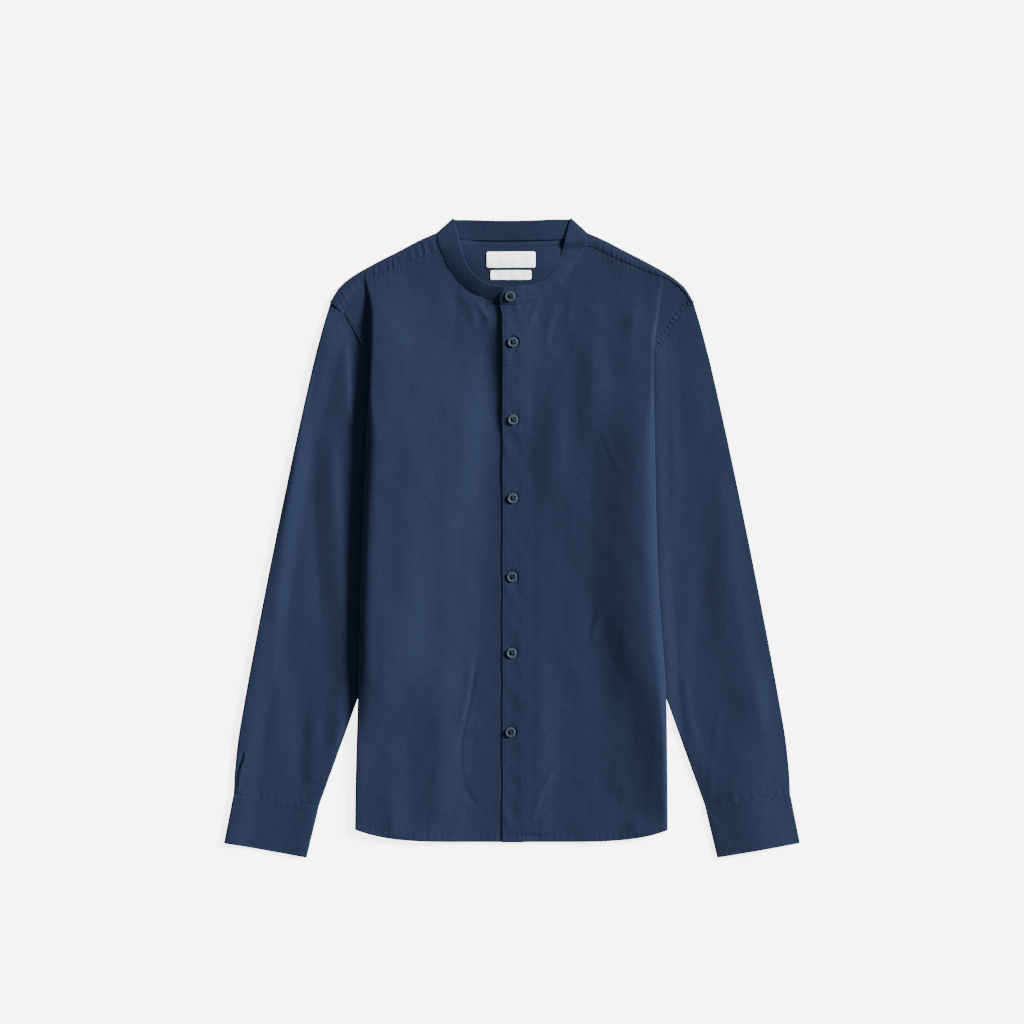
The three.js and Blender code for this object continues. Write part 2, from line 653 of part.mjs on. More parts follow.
function addSleeve(side) {
  const lengths = [0, 0.04, 0.1, 0.17, 0.25, 0.34, 0.43, 0.52, 0.6, 0.66, 0.71, 0.8, 0.9, 1];
  const headStart = 0.0012;                   // share of the length that keeps clear of the yoke
  const ringWidth = (length) => {
    const a = sleevePlan(length, 0);
    const b = sleevePlan(length, 1);
    return Math.hypot(a.x - b.x, a.y - b.y);
  };
  const pointAt = (i, j) => {
    const length = mix(headStart, 1, lengths[j]);
    const width = ringWidth(length);
    const place = tubePlaces(width, creaseAcross(side, length, width))[i];
    const plan = sleevePlan(length, place.d / width);
    const ride = sleeveRide(side, plan.x, plan.y, place.top);
    const outside = 1 - smooth(sleeveFull.innerTo, sleeveFull.innerFrom, plan.y);
    const head = smooth(0, sleeveFull.headTo, length);
    const outerFull = mix(shoulderRoll * 2 - layer, sleeveFull.outer, head);
    const fullness = { outer: outerFull, inner: sleeveFull.inner * outside };
    return new THREE.Vector3(side.sign * plan.x, plan.y, tubeHeight(place, width, cloth, fullness, ride));
  };
  const at = side.sign > 0 ? (i, j) => pointAt(tubeCount - 1 - i, j) : pointAt;
  const geometry = clothWall(tubeCount, lengths.length, at, cloth, { tube: true });
  addPiece(`sleeve_${side.key}`, geometry);
}

function addCuff(side) {
  const lengths = [0, 0.3, 0.7, 1];
  const pointAt = (i, j) => {
    const t = mix(seamSet / (cuffSeam.outerY - cuffEdge.outerY), 1, lengths[j]);
    const outer = { x: mix(cuffSeam.outerX, cuffEdge.outerX, t), y: mix(cuffSeam.outerY, cuffEdge.outerY, t) };
    const inner = { x: mix(cuffSeam.innerX, cuffEdge.innerX, t), y: mix(cuffSeam.innerY, cuffEdge.innerY, t) };
    const width = Math.hypot(outer.x - inner.x, outer.y - inner.y);
    const place = tubePlaces(width, width - bendRoom)[i];
    const across = place.d / width;
    const z = tubeHeight(place, width, cuffCloth, cuffFull, 0);
    return new THREE.Vector3(side.sign * mix(outer.x, inner.x, across), mix(outer.y, inner.y, across), z);
  };
  const at = side.sign > 0 ? (i, j) => pointAt(tubeCount - 1 - i, j) : pointAt;
  addPiece(`cuff_${side.key}`, clothWall(tubeCount, lengths.length, at, cuffCloth, { tube: true }));
}

// The collar band: from its under end up the right front, folded flat across the back, down to its over end.
function addCollar() {
  const backZ = bandCloth / 2;
  const underZ = frontLevel + gap;
  const overZ = frontLevel + 2 * layer;
  const foldZ = { seam: backLevel + 2 * shoulderRoll, edge: backZ + bandRoll };
  const columns = [];
  const frontColumn = (side, row) => {
    const over = side.sign > 0 ? overZ - underZ : 0;
    const level = underZ + over * (1 - smooth(bandOver.from, bandOver.to, row.seamX));
    const seamZ = mix(foldZ.seam, level, smooth(bandTurn.to, bandTurn.seam, row.seamX));
    const edgeZ = mix(foldZ.edge, seamZ + row.rise, smooth(bandTurn.to, bandTurn.edge, row.seamX));
    return {
      seam: new THREE.Vector3(side.sign * row.seamX, row.seamY, seamZ),
      edge: new THREE.Vector3(side.sign * row.edgeX, row.edgeY, edgeZ),
    };
  };
  const foldColumns = (side) => [90, 45, 0, -45, -90].map((angle) => {
    const bend = THREE.MathUtils.degToRad(angle);
    const out = new THREE.Vector2(bandFold.edgeY - bandFold.seamY, bandFold.seamX - bandFold.edgeX).normalize();
    const turned = (x, y, top) => {
      const radius = (top - backZ) / 2;
      const reach = radius * (Math.cos(bend) - 1);
      const z = backZ + radius * (1 + Math.sin(bend));
      return new THREE.Vector3(side.sign * (x + reach * out.x), y + reach * out.y, z);
    };
    return {
      seam: turned(bandFold.seamX, bandFold.seamY, foldZ.seam),
      edge: turned(bandFold.edgeX, bandFold.edgeY, foldZ.edge),
    };
  });
  bandTable.right.forEach((row) => columns.push(frontColumn(wearerRight, row)));
  columns.push(...foldColumns(wearerRight));
  for (const share of [-0.72, -0.36, 0, 0.36, 0.72]) {
    const seamX = share * bandBack.seamX;
    const edgeY = mix(bandBackEdge, bandFold.edgeY, share * share);
    const seamY = read(backNeckTable, "x", "y", Math.abs(seamX)) + bandBack.seamUp;
    columns.push({
      seam: new THREE.Vector3(seamX, seamY, backZ),
      edge: new THREE.Vector3(share * bandBack.edgeX, edgeY - bandBack.edgeDown, backZ),
    });
  }
  columns.push(...foldColumns(wearerLeft).reverse());
  bandTable.left.slice().reverse().forEach((row) => columns.push(frontColumn(wearerLeft, row)));
  const shares = [0, 0.3, 0.65, 1];
  const last = columns.length - 1;
  const endRound = [0, -4.6, -4.4, 0];
  const pointAt = (i, j) => {
    const { seam, edge } = columns[i];
    const point = seam.clone().lerp(edge, shares[j]);
    if (i === last) point.x += endRound[j];
    return point;
  };
  const at = (i, j) => pointAt(last - i, j);
  addPiece("collar_band", clothWall(columns.length, shares.length, at, bandCloth));
}

// A button turned on a lathe: a rounded rim round a shallow dish.
function buttonGeometry() {
  const { radius, thick, rim, dish, base, shoulder, sides } = button;
  const profile = [
    [0, 0],
    [radius - base, 0],
    [radius, thick * shoulder],
    [radius - rim, thick],
    [radius - 2 * rim - dish, thick - dish],
    [0, thick - dish],
  ];
  const turned = new THREE.LatheGeometry(profile.map(([r, z]) => new THREE.Vector2(r, z)), sides);
  turned.rotateX(Math.PI / 2);
  return turned;
}

function addButtons() {
  const material = () => new THREE.MeshStandardMaterial({ color: 0x52657a, roughness: 0.4, metalness: 0 });
  const seat = frontLevel + 2 * layer + cloth / 2 + gap;
  buttonTable.forEach((place, k) => {
    const mesh = addPiece(`button_${k + 1}`, buttonGeometry(), material());
    mesh.position.set(place.x, place.y, seat);
  });
  const mesh = addPiece("button_collar", buttonGeometry(), material());
  const row = bandTable.left[1];
  const width = row.edgeY - row.seamY;
  const share = (collarButton.y - row.seamY) / width;
  const tilt = Math.atan2(row.rise, width);
  const rideZ = frontLevel + 2 * layer + share * row.rise;
  const clear = bandCloth / 2 + gap;
  mesh.position.set(collarButton.x, collarButton.y - clear * Math.sin(tilt), rideZ + clear * Math.cos(tilt));
  mesh.rotation.set(tilt, 0, 0);
}

function addLabels() {
  for (const label of labels) {
    const corner = { x: label.x - label.width / 2, y: label.y - label.height / 2 };
    const across = (i) => corner.x + i * label.width;
    const pointAt = (i, j) => new THREE.Vector3(across(i), corner.y + j * label.height, frontLevel);
    const material = new THREE.MeshStandardMaterial({ color: 0xe9e9e4, roughness: 0.6, metalness: 0 });
    addPiece(label.name, clothWall(2, 2, pointAt, cloth), material);
  }
}

addBack();
addYoke();
addFronts();
addCollar();
for (const side of [wearerRight, wearerLeft]) {
  addSleeve(side);
  addCuff(side);
}
addButtons();
addLabels();

export default shirt;
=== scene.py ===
import bpy
import bmesh
import numpy as np
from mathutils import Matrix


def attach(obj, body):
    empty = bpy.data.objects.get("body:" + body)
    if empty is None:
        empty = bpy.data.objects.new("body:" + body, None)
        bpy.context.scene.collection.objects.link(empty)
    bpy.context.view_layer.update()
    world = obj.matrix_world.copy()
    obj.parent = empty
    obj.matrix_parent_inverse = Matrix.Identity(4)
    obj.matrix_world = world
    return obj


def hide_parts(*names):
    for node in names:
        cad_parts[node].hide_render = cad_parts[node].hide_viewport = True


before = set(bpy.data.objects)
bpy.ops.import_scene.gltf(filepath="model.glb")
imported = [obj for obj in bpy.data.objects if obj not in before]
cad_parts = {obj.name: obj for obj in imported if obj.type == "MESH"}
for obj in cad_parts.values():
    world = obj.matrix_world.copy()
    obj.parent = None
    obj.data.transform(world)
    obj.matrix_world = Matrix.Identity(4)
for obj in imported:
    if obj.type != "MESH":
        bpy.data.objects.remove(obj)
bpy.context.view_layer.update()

mm = 0.001

# Everything is worked out in millimetres: X across the shirt, Y up to the collar, Z off the floor.
# The wearer's right is at -X. A side is its key and the sign of its X, and its places are written for +X.
wearerRight = {"key": "right", "sign": -1}
wearerLeft = {"key": "left", "sign": 1}

layers = {
    "wall": 1.0,             # the solids' cloth
    "gap": 0.3,
    "cloth": 0.6,            # the shell drawn here
    "back": 0.5,             # middle of the back panel
}
step = layers["wall"] + layers["gap"]
frontLevel = layers["back"] + step

shape = {
    "hemDrop": -370.5, "hemCornerRise": 15.0, "hemHalf": 190.0,
    "underarmX": 74.0, "underarmY": 120.0, "turnX": 174.0, "turnY": 222.0,
    "tipX": 222.0, "tipY": 285.5, "backYokeSeam": 270.0, "shoulderRoll": 1.8,
    "cuffOuterX": 339.2, "cuffOuterY": -314.0, "cuffInnerX": 236.0, "cuffInnerY": -327.8,
    "edgeOuterX": 350.6, "edgeOuterY": -372.0, "edgeInnerX": 250.8, "edgeInnerY": -389.6,
    "placketFrom": -11.4, "placketTo": 13.4, "underEdge": 12.5,
}
creaseShape = {
    "y": [-356, -295, -190, -60, 110, 200, 235, 276, 319],
    "right": [191, 190, 187, 184, 177.5, 173, 172, 173, 180],
    "left": [189.5, 189, 187, 178, 173.5, 172, 172.5, 178, 183],
}
sideSeamShape = {"y": [-372, -190, 0, 120], "x": [115, 104, 88, 74]}
armholeShape = {"y": [222, 235, 249, 257, 270, 280, 285.5], "x": [174, 182.5, 190.5, 195, 204, 213.5, 222]}
yokeEndShape = {
    "right": {"y": [276, 283, 295, 306, 316], "x": [209, 204.5, 195, 187.5, 181.6]},
    "left": {"y": [284, 292, 300, 311, 319], "x": [219, 215.5, 210.7, 197, 184.8]},
}
frontTopShape = {
    "x": [0, 18, 32, 49, 65.6, 78.7, 87.5, 95, 128, 165, 182],
    "right": [287.2, 289, 292.8, 300.4, 314.3, 332, 353.5, 351.6, 337, 322, 316],
    "left": [284.6, 287.8, 293, 303, 318.5, 337, 353.5, 357, 342, 326, 319],
}
shoulderShape = {
    "x": [92.7, 111, 139, 168, 193, 210.5, 221],
    "y": [371.5, 363.6, 349, 334, 319.6, 305, 288.5],
}
backNeckShape = {"x": [0, 50, 75, 92.7], "y": [362.6, 363.4, 366, 370]}
sleeveOuterShape = {
    "y": [-314, -283, -234, -88, 58, 205, 254, 285.5],
    "x": [339.2, 337.6, 331.8, 305, 275.7, 244, 231.8, 222.6],
}


# Curves and waves

def smooth(a, b, value):
    # 0 below a, 1 above b, and 3t^2 - 2t^3 between them
    t = np.clip((np.asarray(value, float) - a) / (b - a), 0, 1)
    return t * t * (3 - 2 * t)


def mix(a, b, t):
    return a + (b - a) * t


def spaced(marks, counts):
    # values through the marks, with the given number of even steps between each pair
    parts = [np.linspace(a, b, n + 1)[:-1] for a, b, n in zip(marks[:-1], marks[1:], counts)]
    return np.concatenate(parts + [marks[-1:]])


def read(table, key, column, at):
    # a cubic between the table's rows, with each row's slope taken from its two neighbours
    k = np.array(table[key], float)
    c = np.array(table[column], float)
    low = np.maximum(np.arange(len(k)) - 1, 0)
    high = np.minimum(np.arange(len(k)) + 1, len(k) - 1)
    slope = (c[high] - c[low]) / (k[high] - k[low])
    at = np.clip(at, k[0], k[-1])
    i = np.clip(np.searchsorted(k, at, side="right") - 1, 0, len(k) - 2)
    span = k[i + 1] - k[i]
    t = (at - k[i]) / span
    start = (2 * t**3 - 3 * t**2 + 1) * c[i] + (t**3 - 2 * t**2 + t) * span * slope[i]
    return start + (3 * t**2 - 2 * t**3) * c[i + 1] + (t**3 - t**2) * span * slope[i + 1]


def curveThrough(points, count):
    # a Catmull-Rom curve through the points
    p = np.asarray(points, float)
    p = np.vstack([2 * p[0] - p[1], p, 2 * p[-1] - p[-2]])
    u = np.linspace(0, len(p) - 3 - 1e-9, count)
    i = u.astype(int)
    t = (u - i)[:, None]
    a, b, c, d = p[i], p[i + 1], p[i + 2], p[i + 3]
    return 0.5 * (2 * b + (c - a) * t + (2 * a - 5 * b + 4 * c - d) * t**2 + (3 * b - a - 3 * c + d) * t**3)


def evenly(curve, shares):
    # places and directions at shares of a dense curve's length
    lengths = np.concatenate([[0], np.cumsum(np.linalg.norm(np.diff(curve, axis=0), axis=1))])
    at = np.asarray(shares) * lengths[-1]

    def placeAt(length):
        return np.stack([np.interp(length, lengths, column) for column in curve.T], -1)

    along = placeAt(np.minimum(at + 0.5, lengths[-1])) - placeAt(np.maximum(at - 0.5, 0))
    return placeAt(at), along / np.linalg.norm(along, axis=-1, keepdims=True)


def nearestOn(path, x, y):
    # for each point: its signed distance from a path of points, and how far along it the nearest place is
    path = np.asarray(path, float)
    flat = np.stack([x.ravel(), y.ravel()], 1)
    nearest = np.full(len(flat), 1e9)
    signed = np.zeros(len(flat))
    along = np.zeros(len(flat))
    total = 0.0
    for a, b in zip(path[:-1], path[1:]):
        leg = b - a
        length = np.hypot(*leg)
        t = np.clip(((flat - a) @ leg) / length**2, 0, 1)
        off = flat - (a + t[:, None] * leg)
        distance = np.hypot(off[:, 0], off[:, 1])
        closer = distance < nearest
        nearest = np.where(closer, distance, nearest)
        signed = np.where(closer, distance * np.sign(leg[0] * off[:, 1] - leg[1] * off[:, 0]), signed)
        along = np.where(closer, total + t * length, along)
        total += length
    return signed.reshape(x.shape), along.reshape(x.shape), total


def fold(height, left, right, path, start=0.3, end=0.3):
    # a ridge, or a trough where its height is below 0: its half widths seen along the path, and the shares
    # of its length over which it fades in and out
    return {"height": height, "left": left, "right": right, "path": path, "start": start, "end": end}


def foldRelief(folds, x, y):
    # the sum of the folds, each of Gaussian section along its bent path
    total = np.zeros(x.shape)
    for f in folds:
        signed, along, length = nearestOn(curveThrough(f["path"], 14), x, y)
        width = np.where(signed > 0, f["left"], f["right"])
        t = along / length
        ends = smooth(0, f["start"], t) * (1 - smooth(1 - f["end"], 1, t))
        total += f["height"] * np.exp(-(signed / width) ** 2) * ends
    return total


def ripple(s, length, seed):
    # an uneven wave along s: five sines close to the given length, between about -1 and 1
    draw = np.random.default_rng(seed)
    total = np.zeros(np.shape(s))
    for k in range(5):
        own = length * mix(0.72, 1.5, draw.random())
        total = total + np.sin(2 * np.pi * (s / own + draw.random())) * mix(0.35, 0.6, draw.random())
    return np.tanh(total)


def crumple(x, y, seed, height=0.05):
    # the faint unevenness of washed cotton: many low waves of every direction
    draw = np.random.default_rng(seed)
    total = np.zeros(np.shape(x))
    for k in range(26):
        length = 11 * 5.5 ** draw.random()
        angle = draw.normal(0, 0.5)
        phase = draw.random() * 2 * np.pi
        wave = np.cos(angle) * x + np.sin(angle) * y
        bend = 0.6 * np.sin((np.sin(angle) * x - np.cos(angle) * y) / (length * 2.7) + phase)
        total = total + np.sin(2 * np.pi * wave / length + phase + bend) * height * (length / 24) ** 0.8
    return total


def pucker(s, away, height, length, reach, seed):
    # the wave of a sewn seam along s, which dies away from it with exp(-away / reach)
    return height * ripple(s, length, seed) * np.exp(-away / reach)


def groove(away, depth, width):
    # the hollow that a row of stitches pulls: a Gaussian of the distance from it
    return -depth * np.exp(-(away / width) ** 2)


# Meshes

def linkMaterial(thing, material):
    thing.data.materials.clear()
    thing.data.materials.append(material)


def gridFaces(rows, columns, closed):
    j, i = np.meshgrid(np.arange(rows - 1), np.arange(columns if closed else columns - 1), indexing="ij")
    k = (i + 1) % columns
    return np.stack([j * columns + i, j * columns + k, (j + 1) * columns + k, (j + 1) * columns + i], -1)


def gridNormals(points):
    down = np.gradient(points, axis=0)
    across = np.gradient(points, axis=1)
    normal = np.cross(across, down)
    return normal / np.maximum(np.linalg.norm(normal, axis=2, keepdims=True), 1e-9)


def unit(vectors):
    return vectors / np.linalg.norm(vectors, axis=-1, keepdims=True)


def meshFrom(name, points, faces, uv=None):
    # points in millimetres (n, 3), faces (m, 4) or (m, 3), uv per point in millimetres of cloth
    mesh = bpy.data.meshes.new(name)
    points = np.asarray(points, float).reshape(-1, 3)
    faces = np.asarray(faces).reshape(-1, np.shape(faces)[-1])
    used = np.unique(faces)
    renumber = np.zeros(len(points), int)
    renumber[used] = np.arange(len(used))
    faces = renumber[faces]
    mesh.vertices.add(len(used))
    mesh.vertices.foreach_set("co", (points[used] * mm).ravel())
    mesh.loops.add(faces.size)
    mesh.loops.foreach_set("vertex_index", faces.ravel())
    mesh.polygons.add(len(faces))
    mesh.polygons.foreach_set("loop_start", np.arange(len(faces)) * faces.shape[1])
    if uv is not None:
        layer = mesh.uv_layers.new(name="cut")
        flat = (np.asarray(uv, float).reshape(-1, 2)[used] * mm)[faces.ravel()]
        layer.data.foreach_set("uv", flat.ravel())
    mesh.update(calc_edges=True)
    mesh.validate()
    mesh.shade_smooth()
    thing = bpy.data.objects.new(name, mesh)
    bpy.context.scene.collection.objects.link(thing)
    return thing


def clean(thing, distance):
    # merges the points that lie closer than the distance and turns every face outwards
    mesh = bmesh.new()
    mesh.from_mesh(thing.data)
    if distance:
        bmesh.ops.remove_doubles(mesh, verts=mesh.verts, dist=distance * mm)
    bmesh.ops.recalc_face_normals(mesh, faces=mesh.faces)
    mesh.to_mesh(thing.data)
    mesh.free()
    thing.data.shade_smooth()


def soften(thing, width):
    bevel = thing.modifiers.new("rounded", "BEVEL")
    bevel.width = width * mm
    bevel.segments = 3
    bevel.limit_method = "ANGLE"
    bevel.angle_limit = 1.0


def clothSheet(name, points, uv, material, thick=None, keep=None, closed=False, flip=False):
    # a panel: its middle surface on a grid (rows, columns, 3), given its thickness by Solidify
    faces = gridFaces(*points.shape[:2], closed)
    if keep is not None:
        faces = faces[keep]
    if flip:
        faces = faces[..., ::-1]
    thing = meshFrom(name, points, faces.reshape(-1, 4), uv)
    solid = thing.modifiers.new("cloth", "SOLIDIFY")
    solid.thickness = (thick or layers["cloth"]) * mm
    solid.offset = 0
    linkMaterial(thing, material)
    return thing


def softBand(name, points, uv, thick, material):
    # a strip with rounded edges all round: the section is two faces half a thickness off the middle surface,
    # joined by half circles, and it closes in a quarter circle at each end. Rows run across, columns along.
    normal = gridNormals(points)
    half = thick / 2
    out, back = unit(points[-1] - points[-2]), unit(points[0] - points[1])
    bends = np.radians([30, 60, 90, 120, 150])
    rows = range(len(points))
    section = [(points[r], normal[r]) for r in rows]
    section += [(points[-1], normal[-1] * np.cos(b) + out * np.sin(b)) for b in bends]
    section += [(points[r], -normal[r]) for r in reversed(rows)]
    section += [(points[0], back * np.sin(b) - normal[0] * np.cos(b)) for b in bends]
    middle = np.stack([m for m, swing in section])
    swing = np.stack([swing for m, swing in section]) * half
    along = unit(np.gradient(points, axis=1))
    caps = np.radians([90, 60, 30])
    ahead, behind = along[:, 0].mean(0) * half, along[:, -1].mean(0) * half
    columns = [middle[:, 0] + swing[:, 0] * np.cos(b) - ahead * np.sin(b) for b in caps]
    columns += [middle[:, c] + swing[:, c] for c in range(points.shape[1])]
    columns += [middle[:, -1] + swing[:, -1] * np.cos(b) + behind * np.sin(b) for b in caps[::-1]]
    shell = np.stack(columns)
    flat = np.concatenate([uv, np.repeat(uv[-1:], len(bends), 0), uv[::-1], np.repeat(uv[:1], len(bends), 0)])
    flat = np.swapaxes(flat, 0, 1)
    flat = np.concatenate([np.repeat(flat[:1], len(caps), 0), flat, np.repeat(flat[-1:], len(caps), 0)])
    thing = meshFrom(name, shell, gridFaces(*shell.shape[:2], True).reshape(-1, 4), flat)
    clean(thing, 0.004)
    linkMaterial(thing, material)
    return thing


def declareSheet(thing, uv, restsOn, pieces, cells=None, plan=None):
    # the flat cut's area, summed over the grid's cells; nothing is done with it
    flat = np.asarray(uv, float) * mm
    flat = flat if plan is None else plan * mm
    rising, falling = flat[1:, 1:] - flat[:-1, :-1], flat[1:, :-1] - flat[:-1, 1:]
    area = np.abs(rising[..., 0] * falling[..., 1] - rising[..., 1] * falling[..., 0]) / 2
    area = area.sum() if cells is None else area[cells].sum()


def place(thing, node):
    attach(thing, "root")
    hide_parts(node)


# Stitches

def dropOn(surface, plan):
    # each plan place moved up or down onto the surface: its nearest grid point's tangent plane is read there
    flat = surface.reshape(-1, 3)
    normal = gridNormals(surface).reshape(-1, 3)
    normal = normal * np.where(normal[:, 2:3] < 0, -1, 1)
    margin = 6
    low, high = plan.min(0) - margin, plan.max(0) + margin
    near = np.all((flat[:, :2] > low) & (flat[:, :2] < high), axis=1)
    flat, normal = flat[near], normal[near]
    found = []
    for part in np.array_split(plan, max(1, len(plan) // 40)):
        away = ((part[:, None, :] - flat[None, :, :2]) ** 2).sum(-1)
        found.append(np.argmin(away, axis=1))
    k = np.concatenate(found)
    tilt = (normal[k, :2] * (plan - flat[k, :2])).sum(1)
    return np.column_stack([plan, flat[k, 2] - tilt / np.maximum(normal[k, 2], 0.25)]), normal[k]


stitch = {
    "pitch": 2.7, "length": 1.95, "start": 0.3, "lift": 0.3, "radius": 0.16, "sink": 0.04,
    "ringAt": [0.04, 0.28, 0.72, 0.96], "ringSize": [0.6, 1, 1, 0.6], "ringRise": [-0.1, 0.05, 0.05, -0.1],
}


def lineOn(surface, path, lift=stitch["lift"]):
    # the two ends of each stitch of a row that follows a plan path over a surface
    path = np.asarray(path)
    total = np.linalg.norm(np.diff(path, axis=0), axis=1).sum()
    starts = np.arange(stitch["start"], total - stitch["length"], stitch["pitch"])
    a, na = dropOn(surface, evenly(path, starts / total)[0])
    b, nb = dropOn(surface, evenly(path, (starts + stitch["length"]) / total)[0])
    return a + na * lift, b + nb * lift, na


def stitchPiece(name, lines, node):
    # each stitch is a thin bead whose ends dip into the cloth: four rings of six points and two poles
    a, b, up = (np.concatenate([line[k] for line in lines]) for k in range(3))
    side = unit(np.cross(unit(b - a), up))
    up = np.cross(side, unit(b - a))
    share, size, rise = (np.array(stitch[k])[None, :, None, None] for k in ("ringAt", "ringSize", "ringRise"))
    angle = np.linspace(0, 2 * np.pi, 6, endpoint=False)[None, None, :, None]
    middle = a[:, None, None] + (b - a)[:, None, None] * share + up[:, None, None] * (rise - stitch["sink"])
    circle = np.cos(angle) * side[:, None, None] + np.sin(angle) * up[:, None, None]
    rings = middle + size * stitch["radius"] * circle
    poles = np.stack([a - up * stitch["radius"], b - up * stitch["radius"]], 1)
    points = np.concatenate([rings.reshape(len(a), 24, 3), poles], 1)
    faces = []
    for ring in range(3):
        for k in range(6):
            n = (k + 1) % 6
            p, q, r, s = ring * 6 + k, ring * 6 + n, (ring + 1) * 6 + n, (ring + 1) * 6 + k
            faces += [(p, q, r), (p, r, s)]
    faces += [(24, (k + 1) % 6, k) for k in range(6)] + [(25, 18 + k, 18 + (k + 1) % 6) for k in range(6)]
    every = np.array(faces)[None] + (np.arange(len(a)) * 26)[:, None, None]
    thing = meshFrom(name, points, every.reshape(-1, 3))
    clean(thing, 0)
    linkMaterial(thing, sewing)
    place(thing, node)
    return thing


# Materials

def newNode(tree, kind, **values):
    made = tree.nodes.new(kind)
    for key, value in values.items():
        if key in made.inputs:
            made.inputs[key].default_value = value
        else:
            setattr(made, key, value)
    return made


def newMaterial(name, sockets):
    # the material, its node tree, and its shader with the given sockets set
    material = bpy.data.materials.new(name)
    material.use_nodes = True
    shader = material.node_tree.nodes["Principled BSDF"]
    for socket, value in sockets.items():
        shader.inputs[socket].default_value = value
    return material, material.node_tree, shader


def colorRamp(tree, source, low, high, middle=None):
    # a ramp between two stops, each a position and a colour, with a third between them if it is given
    ramp = newNode(tree, "ShaderNodeValToRGB")
    stops = ramp.color_ramp.elements
    for stop, (position, color) in ((stops[0], low), (stops[1], high)):
        stop.position, stop.color = position, color
    if middle:
        stops.new(middle[0]).color = middle[1]
    tree.links.new(source, ramp.inputs[0])
    return ramp.outputs[0]


def shirtingMaterial():
    # plain weave: two crossed sets of threads as bump, slubs as longer streaks, a slightly mottled dye
    look = {
        "deepDye": (0.36, (0.0051, 0.0087, 0.0195, 1)), "dye": (0.5, (0.0076, 0.0124, 0.0265, 1)),
        "paleDye": (0.64, (0.0108, 0.017, 0.035, 1)),
        "threads": 2400.0, "weaveDepth": 0.0001, "slubDepth": 0.00012,
        "slubs": (1500, 240), "grain": 780, "grainDepth": 1.1, "cloud": 26, "cloudDepth": 0.14,
    }
    material, tree, shader = newMaterial("navyShirting", {
        "Roughness": 0.86, "Specular IOR Level": 0.03,
        "Sheen Weight": 0.02, "Sheen Roughness": 0.45, "Sheen Tint": (0.55, 0.68, 0.9, 1),
    })
    cut = newNode(tree, "ShaderNodeUVMap", uv_map="cut")
    link = tree.links.new

    def streaks(across, along, detail):
        mapping = newNode(tree, "ShaderNodeMapping", Scale=(across, along, 1))
        noise = newNode(tree, "ShaderNodeTexNoise", Scale=1.0, Detail=detail, Roughness=0.55)
        link(cut.outputs[0], mapping.inputs[0])
        link(mapping.outputs[0], noise.inputs["Vector"])
        return noise.outputs["Fac"]

    def threads(direction):
        wave = newNode(tree, "ShaderNodeTexWave", Scale=look["threads"] / 6.283, Distortion=1.2, Detail=1.0)
        wave.bands_direction = direction
        link(cut.outputs[0], wave.inputs["Vector"])
        return wave.outputs["Fac"]

    def blend(kind, a, b):
        made = newNode(tree, "ShaderNodeMath", operation=kind)
        link(a, made.inputs[0])
        if isinstance(b, float):
            made.inputs[1].default_value = b
        else:
            link(b, made.inputs[1])
        return made.outputs[0]

    def bump(height, strength, depth, under=None):
        made = newNode(tree, "ShaderNodeBump", Strength=strength, Distance=depth)
        link(height, made.inputs["Height"])
        if under:
            link(under, made.inputs["Normal"])
        return made.outputs[0]

    long, short = look["slubs"]
    slubs = blend("ADD", streaks(long, short, 2.0), streaks(short, long, 2.0))
    grain = streaks(look["grain"], look["grain"], 1.0)
    cloud = streaks(look["cloud"], look["cloud"], 3.0)
    cloud = blend("ADD", blend("MULTIPLY", cloud, look["cloudDepth"]), 0.5 - look["cloudDepth"] / 2)
    grain = blend("SUBTRACT", blend("MULTIPLY", grain, look["grainDepth"]), look["grainDepth"] / 2)
    tone = blend("MULTIPLY", blend("ADD", slubs, blend("ADD", cloud, grain)), 0.3333)
    dye = colorRamp(tree, tone, look["deepDye"], look["paleDye"], look["dye"])
    link(dye, shader.inputs["Base Color"])
    weave = bump(blend("MULTIPLY", threads("X"), threads("Y")), 0.6, look["weaveDepth"])
    link(bump(slubs, 0.7, look["slubDepth"], weave), shader.inputs["Normal"])
    return material


def threadMaterial(name, color):
    material, tree, shader = newMaterial(name, {"Roughness": 0.6, "Specular IOR Level": 0.1})
    position = newNode(tree, "ShaderNodeTexCoord")
    noise = newNode(tree, "ShaderNodeTexNoise", Scale=900.0, Detail=2.0)
    tree.links.new(position.outputs["Object"], noise.inputs["Vector"])
    dark, pale = (tuple(c * share for c in color) + (1,) for share in (0.7, 1.25))
    ramp = colorRamp(tree, noise.outputs["Fac"], (0, dark), (1, pale))
    tree.links.new(ramp, shader.inputs["Base Color"])
    return material


def buttonMaterial():
    # mottled blue-grey resin, with painted shade making the sunk middle darker and a painted highlight making
    # the rim lighter
    look = {"dark": (0.3, (0.018, 0.027, 0.041, 1)), "pale": (0.72, (0.036, 0.049, 0.068, 1)),
            "middle": 0.5, "rim": 0.85}
    material, tree, shader = newMaterial("buttonResin", {"Roughness": 0.42, "Specular IOR Level": 0.16})
    link = tree.links.new
    position = newNode(tree, "ShaderNodeTexCoord")
    noise = newNode(tree, "ShaderNodeTexNoise", Scale=260.0, Detail=3.0, Distortion=1.6)
    rim = newNode(tree, "ShaderNodeAttribute", attribute_name="rim")
    # the rim attribute scales the colour: painted shade in the middle, a painted highlight on the rim
    shade = newNode(tree, "ShaderNodeMapRange", **{"To Min": look["middle"], "To Max": look["rim"]})
    color = newNode(tree, "ShaderNodeVectorMath", operation="SCALE")
    link(position.outputs["Object"], noise.inputs["Vector"])
    link(colorRamp(tree, noise.outputs["Fac"], look["dark"], look["pale"]), color.inputs[0])
    link(rim.outputs["Fac"], shade.inputs["Value"])
    link(shade.outputs["Result"], color.inputs["Scale"])
    link(color.outputs[0], shader.inputs["Base Color"])
    return material


